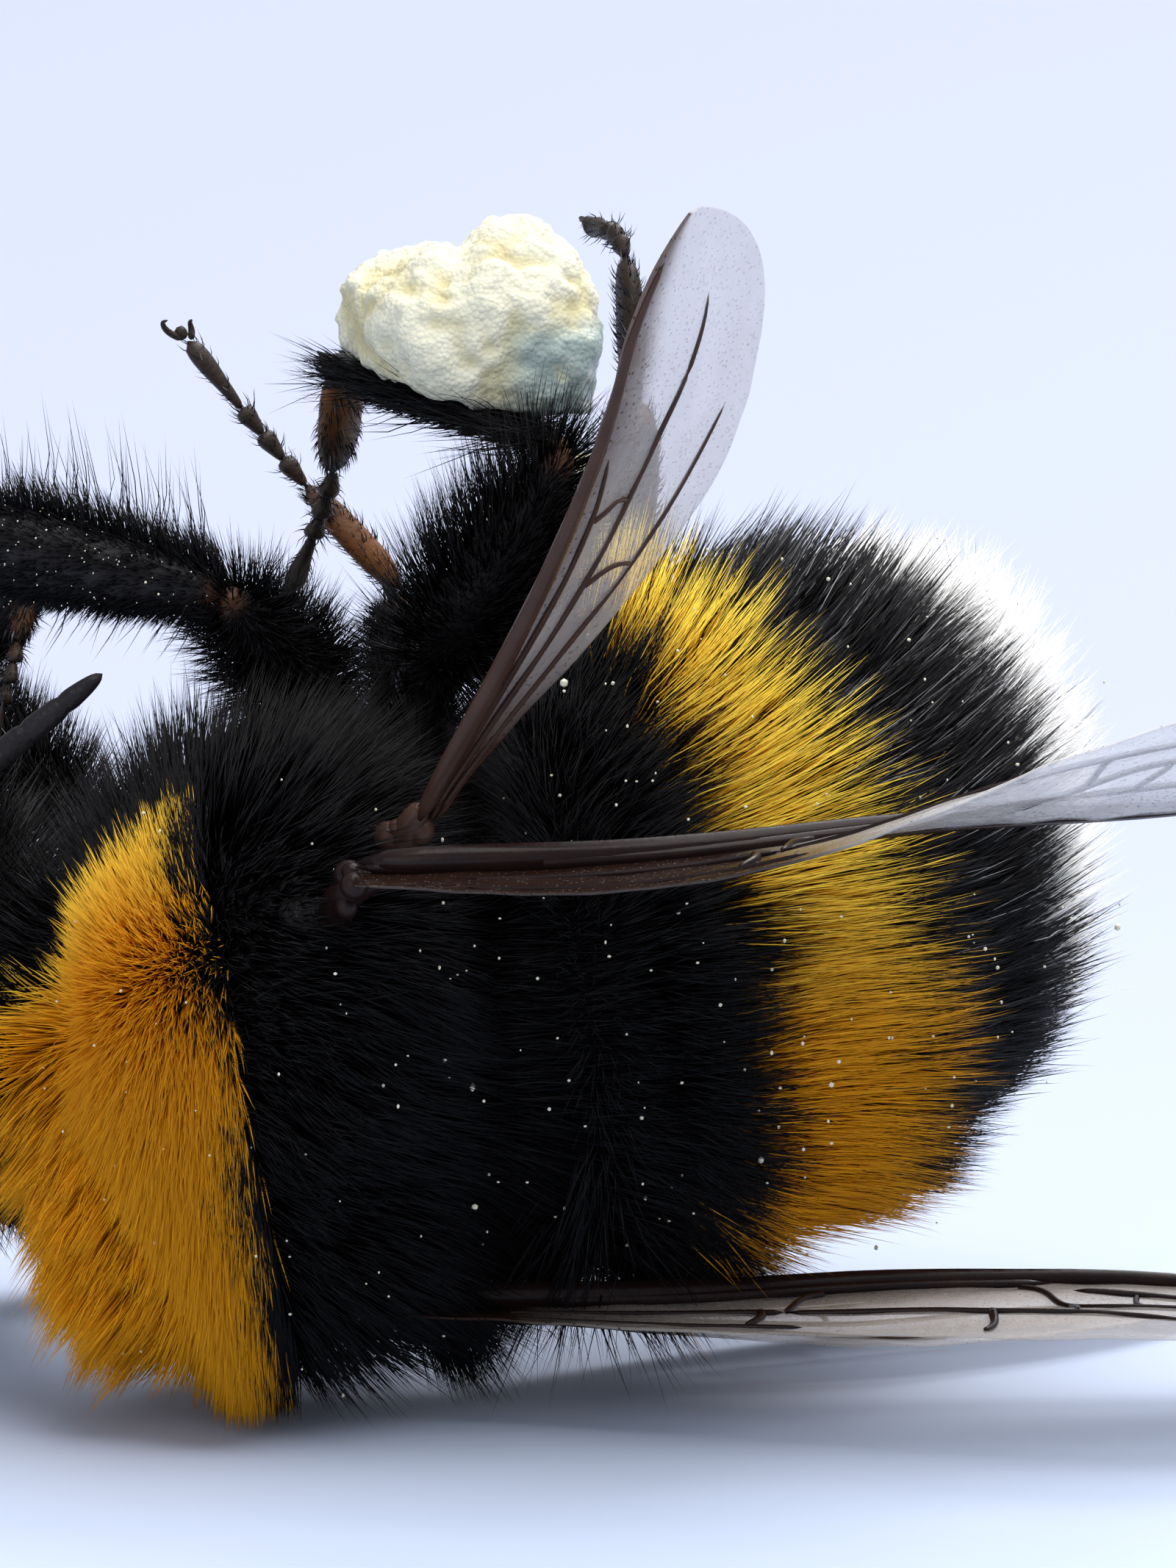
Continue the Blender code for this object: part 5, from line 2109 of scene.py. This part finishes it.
# The small plates of a hinge: how deep and how far aside they lie, and their radius.
HINGE_PLATES = (
    (0.05, 0.12, 0.15), (0.30, -0.14, 0.17), (0.42, 0.16, 0.13), (0.62, -0.06, 0.18), (0.16, -0.10, 0.11)
)

# Veins as (start radius, end radius, (place along, place behind the front edge), ...).
FOREWING_VEINS = (
    (0.190, 0.045, (0.00, 0.10), (0.20, 0.03), (0.45, 0.00), (0.62, 0.00), (0.80, 0.00), (0.93, 0.01)),
    (0.110, 0.060, (0.00, 0.14), (0.14, 0.10), (0.30, 0.06), (0.45, 0.04), (0.60, 0.04)),
    (0.020, 0.042, (0.10, 0.50), (0.18, 0.46), (0.28, 0.43), (0.345, 0.45)),
    (0.045, 0.040, (0.395, 0.10), (0.372, 0.20), (0.345, 0.45)),
    (0.040, 0.032, (0.345, 0.45), (0.43, 0.56), (0.52, 0.60), (0.60, 0.62), (0.70, 0.66)),
    (0.018, 0.030, (0.10, 0.86), (0.18, 0.84), (0.28, 0.82), (0.345, 0.84)),
    (0.055, 0.040, (0.325, 0.45), (0.318, 0.64), (0.30, 0.82)),
    (0.055, 0.034, (0.52, 0.60), (0.515, 0.74), (0.50, 0.86)),
    (0.038, 0.032, (0.565, 0.07), (0.585, 0.22), (0.60, 0.38), (0.645, 0.46), (0.72, 0.46), (0.80, 0.40)),
    (0.036, 0.030, (0.60, 0.38), (0.60, 0.50), (0.60, 0.62)),
    (0.042, 0.030, (0.61, 0.20), (0.70, 0.255), (0.79, 0.24), (0.86, 0.16), (0.885, 0.06)),
    (0.034, 0.030, (0.665, 0.245), (0.662, 0.35), (0.675, 0.46)),
    (0.034, 0.030, (0.735, 0.255), (0.742, 0.36), (0.735, 0.46)),
    (0.034, 0.028, (0.80, 0.24), (0.812, 0.32), (0.80, 0.40)),
    (0.032, 0.026, (0.70, 0.46), (0.70, 0.56), (0.70, 0.66)),
)
HINDWING_VEINS = (
    (0.120, 0.040, (0.00, 0.02), (0.25, 0.01), (0.50, 0.01), (0.75, 0.02), (0.92, 0.06)),
    (0.050, 0.024, (0.00, 0.30), (0.20, 0.24), (0.42, 0.18), (0.56, 0.12)),
    (0.042, 0.020, (0.00, 0.52), (0.22, 0.44), (0.45, 0.42), (0.66, 0.50), (0.80, 0.60)),
    (0.034, 0.030, (0.44, 0.175), (0.46, 0.30), (0.45, 0.42)),
    (0.038, 0.018, (0.00, 0.76), (0.20, 0.72), (0.42, 0.76), (0.56, 0.86)),
    (0.030, 0.026, (0.32, 0.43), (0.345, 0.58), (0.34, 0.74)),
)


def wing_shift(plan: BodyPlan) -> Array:
    """How far the wing paths move to lie where the frame has the thorax."""
    return np.append(plan.thorax[:2] - THORAX_IN_WING_PATHS, 0.0)


@dataclass
class Wing:
    """One wing: a thin stippled membrane, its veins, and the hinge plate at its root."""

    name: str
    plan: BodyPlan
    membrane: Material
    vein: Material
    reach: float = 0.967  # share of the path where the two edges meet in a rounded tip
    thickness: float = 0.028
    rows: int = 90
    strips: int = 26
    clearance: float = 0.01  # over the floor

    def __post_init__(self) -> None:
        """Sets the front edge where the frame has it."""
        self.chord, path, hang = WING_PATHS[self.name]
        self.path = np.array(path) + wing_shift(self.plan)
        self.hang = np.array(hang)
        self.fore = self.name.startswith("forewing")
        # Where the blade is widest, and its width at the root as a share of that.
        self.widest, self.narrow = (0.66, 0.10) if self.fore else (0.50, 0.16)

    def _front(self, t: Array) -> Array:
        """Points on the front edge, on the curve that the solid follows.

        Args:
            t: Shares of the way from root to tip.

        Returns:
            The points.
        """
        spans = len(self.path) - 1
        t = np.clip(t, 0, 1)
        k = np.minimum(spans - 1, (t * spans).astype(int))
        x = (t * spans - k)[:, None]
        first, last = self.path[0] * 2 - self.path[1], self.path[-1] * 2 - self.path[-2]
        ends = np.array([first, *self.path, last])
        before, start, end, after = ends[k], ends[k + 1], ends[k + 2], ends[k + 3]
        return 0.5 * (
            start * 2
            + (end - before) * x
            + (before * 2 - start * 5 + end * 4 - after) * x**2
            + (start * 3 - before - end * 3 + after) * x**3
        )

    def surface(self, t: Array, c: Array) -> tuple[Array, Array]:
        """Points and normals of the blade.

        Args:
            t: Places along the wing, 0 at the root and 1 at the tip.
            c: Places behind the front edge, 0 to 1.

        Returns:
            Points, and the blade's normal at each.
        """
        t, c = np.atleast_1d(t).astype(float) * self.reach, np.atleast_1d(c).astype(float)
        step = 1e-3
        heading = unit(self._front(t + step) - self._front(t - step))
        turn = ease(0, 1, t * 1.4)[:, None]
        hang = self.hang[0] * (1 - turn) + self.hang[1] * turn
        hang = unit(hang - heading * np.sum(heading * hang, axis=1, keepdims=True))
        rising = self.narrow + (1 - self.narrow) * ease(0, 1, 0.12 + 0.88 * t / self.widest) ** 1.15
        beyond = np.clip(t - self.widest, 0, 1) / (1 - self.widest)
        falling = np.sqrt(np.clip(1 - beyond**2.3, 0, 1))
        share = np.where(t < self.widest, rising, falling)
        drop = 0.42 * np.clip((t - 0.72) / 0.28, 0, 1) ** 2.4
        depth = np.maximum(self.chord * (share - drop), 0.0)
        place = (self.chord * drop + depth * c)[:, None]
        normal = unit(np.cross(heading, hang))
        inner = np.sin(np.clip(t, 0, 1) * math.pi) * np.sin(c * math.pi)
        flute = 0.05 * ease(0.2, 0.55, t) * np.sin(c * 15 + t * 4) * inner
        return self._front(t) + hang * place + normal * flute[:, None], normal

    def build(self) -> None:
        """Makes the membrane and the veins."""
        self._membrane()
        self._veins()

    def _membrane(self) -> None:
        """The blade, as a fine grid that follows the front edge, with its own thickness."""
        deselect()
        bpy.ops.mesh.primitive_grid_add(x_subdivisions=self.rows, y_subdivisions=self.strips, size=1.0)
        blade = bpy.context.object
        flat = points_of(blade)
        t, c = flat[:, 0] + 0.5, flat[:, 1] + 0.5
        t = 1 - (1 - t) ** 1.25
        points, normals = self.surface(t, c)
        rough = 0.008 * ripple(points, 0.5, 61)
        move_to(blade, points + rough[:, None] * normals)
        note(blade, "blade", np.column_stack([t, c, np.zeros(len(t))]))
        modify(blade, "SOLIDIFY", thickness=self.thickness, offset=0.0, use_even_offset=False)
        keep_above(blade, self.clearance)
        finish(f"{self.name}_membrane", [blade], self.membrane, Slot.WING, self.name)

    def _veins(self) -> None:
        """Every vein as a tapered rod on the blade, and the hinge plates at the root."""
        rods = []
        for k, (thick, fine, *stops) in enumerate(FOREWING_VEINS if self.fore else HINDWING_VEINS):
            t, c = trace(stops, np.linspace(0, 1, 14)).T
            points, normals = self.surface(t / self.reach * 0.98, c)
            points = points - normals * np.linspace(thick, fine, 14)[:, None] * 0.65
            size, rings = np.linspace(thick, fine, 6), 5 * len(stops) + 2
            rods.append(Limb(f"vein_{k}", points, size, segments=7, rings=rings, blunt=10).build())
        start, _ = self.surface(np.array([0.0, 0.03]), np.array([0.1, 0.1]))
        inward = unit(self.plan.thorax - start[0])
        hinge = (start[0] + inward * 1.25, start[0] + inward * 0.45, start[1])
        rods.append(Limb("hinge", hinge, (0.18, 0.20, 0.17, 0.13), segments=12, rings=14, blunt=6).build())
        side = unit(np.cross(inward, start[1] - start[0]))
        for k, (deep, aside, size) in enumerate(HINGE_PLATES):
            plate = ball(f"plate_{k}", 12, 8)
            move_to(plate, start[0] + inward * deep + side * aside + points_of(plate) * size)
            rods.append(plate)
        veins = join(f"{self.name}_veins", rods)
        keep_above(veins, self.clearance + 0.002)
        finish(veins.name, [veins], self.vein, Slot.WING)


@dataclass
class WingCaps:
    """The tegulae, two small shields over the roots of the forewings."""

    plan: BodyPlan
    shell: Material
    half: tuple = (0.30, 0.22, 0.10)
    depths: tuple = (("forewing_right", 0.98), ("forewing_left", 1.1))  # under the roots of the wings

    def build(self) -> None:
        """Makes both shields."""
        caps = []
        for name, depth in self.depths:
            start = np.array(WING_PATHS[name][1][0]) + wing_shift(self.plan)
            out = unit(start - self.plan.thorax)
            along = along_skin(np.array([[1.0, 0.0, 0.0]]), out[None])[0]
            cap = ball(f"cap_{name}", 22, 14)
            local = points_of(cap) * np.array(self.half)
            place = start - out * depth - along * 0.30
            axes = np.array([along, np.cross(out, along), out])
            move_to(cap, place + local[:, :1] * axes[0] + local[:, 1:2] * axes[1] + local[:, 2:] * axes[2])
            caps.append(cap)
        finish("wing_caps", caps, self.shell, Slot.SHELL)


# ---------------------------------------------------------------- specks and studio


@dataclass
class Grains:
    """Loose pollen grains caught in the coat."""

    plan: BodyPlan
    skin: Skin
    paste: Material
    on_coat: tuple = (240, 0.021)  # how many, and the radius of the largest
    on_leg: tuple = (190, 0.011)

    def build(self, leg: Leg) -> None:
        """Scatters small faceted grains near the tips of the hair.

        Args:
            leg: The leg that has caught the most.
        """
        random = np.random.default_rng(77)
        count, near = self.on_coat[0], self.on_leg[0]
        facing = np.clip(-normals_of(self.skin.piece)[:, 1], 0, 1) * (self.skin.part != Part.HEAD.value)
        weight = facing * (points_of(self.skin.piece)[:, 2] > 1.2) + 1e-9
        points, normals = scatter(self.skin.piece, count, weight, 78)
        heights = random.uniform(0.75, 1.15, count)
        roots, _, _ = leg.roots[2]  # those of the tibia's lying hair
        chosen = random.choice(len(roots.points), near, replace=False)
        points = np.vstack([points, roots.points[chosen]])
        normals = np.vstack([normals, roots.normals[chosen]])
        heights = np.append(heights, random.uniform(0.03, 0.22, near))
        largest = np.repeat([self.on_coat[1], self.on_leg[1]], [count, near])
        deselect()
        bpy.ops.mesh.primitive_ico_sphere_add(subdivisions=1, radius=1.0)
        model = bpy.context.object
        grains = []
        for k, (point, normal, height) in enumerate(zip(points, normals, heights)):
            grain = model.copy()
            grain.data = model.data.copy()
            bpy.context.scene.collection.objects.link(grain)
            size = random.uniform(0.5, 1.0) * largest[k] * (2.0 if random.random() < 0.06 else 1.0)
            move_to(grain, point + normal * height + points_of(grain) * size * random.uniform(0.7, 1.3, 3))
            grains.append(grain)
        bpy.data.objects.remove(model)
        loose = join("pollen_grains", grains)
        note(loose, "paste", np.zeros((len(loose.data.vertices), 3)))
        finish(loose.name, [loose], self.paste, Slot.POLLEN)


@dataclass
class Studio:
    """A plain pale floor, soft light and the camera."""

    plan: BodyPlan
    distance: float = 180.0
    elevation: float = 10.0
    lens: float = 395.0
    aim: tuple = (3.25, 0.15)  # from the thorax's middle to the point that the camera looks at
    aim_height: float = 6.578
    floor_size: float = 4.0  # in metres, as is the end of the camera's sight
    sight: float = 50.0
    sky: tuple = (0.87, 0.90, 1.0, 1.0)
    sky_strength: float = 0.57
    lamps: tuple = (  # name, place, size, power in watts and colour
        ("key", (60, -20, 230), 240, 0.72, (1.0, 0.98, 0.96)),
        ("fill", (-120, -190, 90), 160, 0.10, (0.90, 0.94, 1.0)),
        ("rim", (120, 240, 260), 180, 0.80, (0.97, 0.97, 1.0)),
    )

    def build(self) -> None:
        """Makes the camera, the floor and the lights."""
        target = np.append(self.plan.thorax[:2] + self.aim, self.aim_height)
        rise = math.radians(self.elevation)
        place = target + self.distance * np.array([0, -math.cos(rise), math.sin(rise)])
        lens = bpy.data.cameras.new("camera")
        lens.lens = self.lens
        lens.sensor_width = 36.0
        lens.clip_start = 1 * MM
        lens.clip_end = self.sight
        camera = self._put("camera", lens, place)
        camera.rotation_euler = (math.radians(90) - rise, 0, 0)
        bpy.context.scene.camera = camera
        deselect()
        bpy.ops.mesh.primitive_plane_add(size=self.floor_size)
        floor = bpy.context.object
        floor.name = "floor"
        floor.data.materials.append(Tabletop().make("tabletop"))
        for lamp in self.lamps:
            self._light(*lamp)
        world = bpy.data.worlds.new("sky")
        world.use_nodes = True
        background = world.node_tree.nodes["Background"].inputs
        background["Color"].default_value = self.sky
        background["Strength"].default_value = self.sky_strength
        bpy.context.scene.world = world
        bpy.context.scene.view_settings.view_transform = "Standard"

    @staticmethod
    def _put(name: str, data: bpy.types.ID, place: Sequence[float]) -> Piece:
        """Puts a camera or a light at a place in millimetres.

        Args:
            name: The object's name.
            data: The camera or the light.
            place: Where it stands.

        Returns:
            The object.
        """
        holder = bpy.data.objects.new(name, data)
        holder.location = Vector(place) * MM
        bpy.context.scene.collection.objects.link(holder)
        return holder

    def _light(self, name: str, place: tuple, size: float, power: float, colour: tuple) -> None:
        """One square soft light that looks at the bee.

        Args:
            name: The lamp's name.
            place: Where it hangs, in mm.
            size: Its width, in mm.
            power: Its power, in watts.
            colour: Its colour.
        """
        lamp = bpy.data.lights.new(name, "AREA")
        lamp.energy = power
        lamp.size = size * MM
        lamp.color = colour
        holder = self._put(name, lamp, place)
        aim = Vector((0, 0, 5)) * MM - holder.location
        holder.rotation_euler = aim.to_track_quat("-Z", "Y").to_euler()


# ---------------------------------------------------------------- the bee


def main() -> None:
    """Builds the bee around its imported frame."""
    logging.basicConfig(level=logging.INFO, format="%(name)s %(message)s")
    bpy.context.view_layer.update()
    plan = BodyPlan()
    markings = Markings()
    Studio(plan).build()

    shell = Chitin().make("black_shell")
    leg_shell = Chitin(brown_ends=0.45).make("leg_shell")
    foot_shell = FootShell().make("foot_shell")
    gloss = EyeGloss().make("eye_gloss")
    amber = Mottled(
        (0.26, 0.095, 0.022), (0.07, 0.025, 0.010), 0.3, (0.1, 0.3, 0.5), (0.05, 0.010), gloss=0.55, coat=0.3
    ).make("tongue_amber")
    vein = Mottled().make("wing_vein")
    pale_vein = Mottled((0.030, 0.014, 0.010), (0.075, 0.038, 0.026)).make("hindwing_vein")
    # The folded forewing's whitish colour is a painted reflection of the bright sky on its glossy membrane.
    folded = Membrane((0.85, 0.81, 0.78), opacity=(0.55, 0.95), root=(0.30, 0.48), gloss=0.5)
    raised = Membrane((0.70, 0.65, 0.61), (0.075, 0.036, 0.024), edge=0.80).make("hindwing_membrane")
    wings = {
        "forewing_right": (folded.make("folded_wing_membrane"), vein),
        "forewing_left": (Membrane().make("wing_membrane"), vein),
        "hindwing_right": (raised, pale_vein),
        "hindwing_left": (raised, pale_vein),
    }
    paste = PollenPaste().make("pollen_paste")

    skin = Skin(plan, markings)
    skin.build()
    coat = Coat(Hair().make("hair"))
    BodyCoat(plan, markings, skin, coat).build()
    HeadPieces(plan, shell, gloss, amber).build()
    for name in LEGS:
        leg = Leg(name, plan, leg_shell, foot_shell, coat)
        leg.build()
        leg.grow_hair()
        if name == "right_mid":
            Grains(plan, skin, paste).build(leg)
        if leg.pair == "hind":
            PollenLoad(leg.side, paste).build()
    hide = Hide().make("hide")
    finish("skin", [skin.piece], hide, Slot.BLACK_COAT, "thorax", "collar", "head", *ABDOMEN)
    for name, (membrane, veins) in wings.items():
        Wing(name, plan, membrane, veins).build()
    WingCaps(plan, shell).build()


if __name__ == "__main__":
    main()
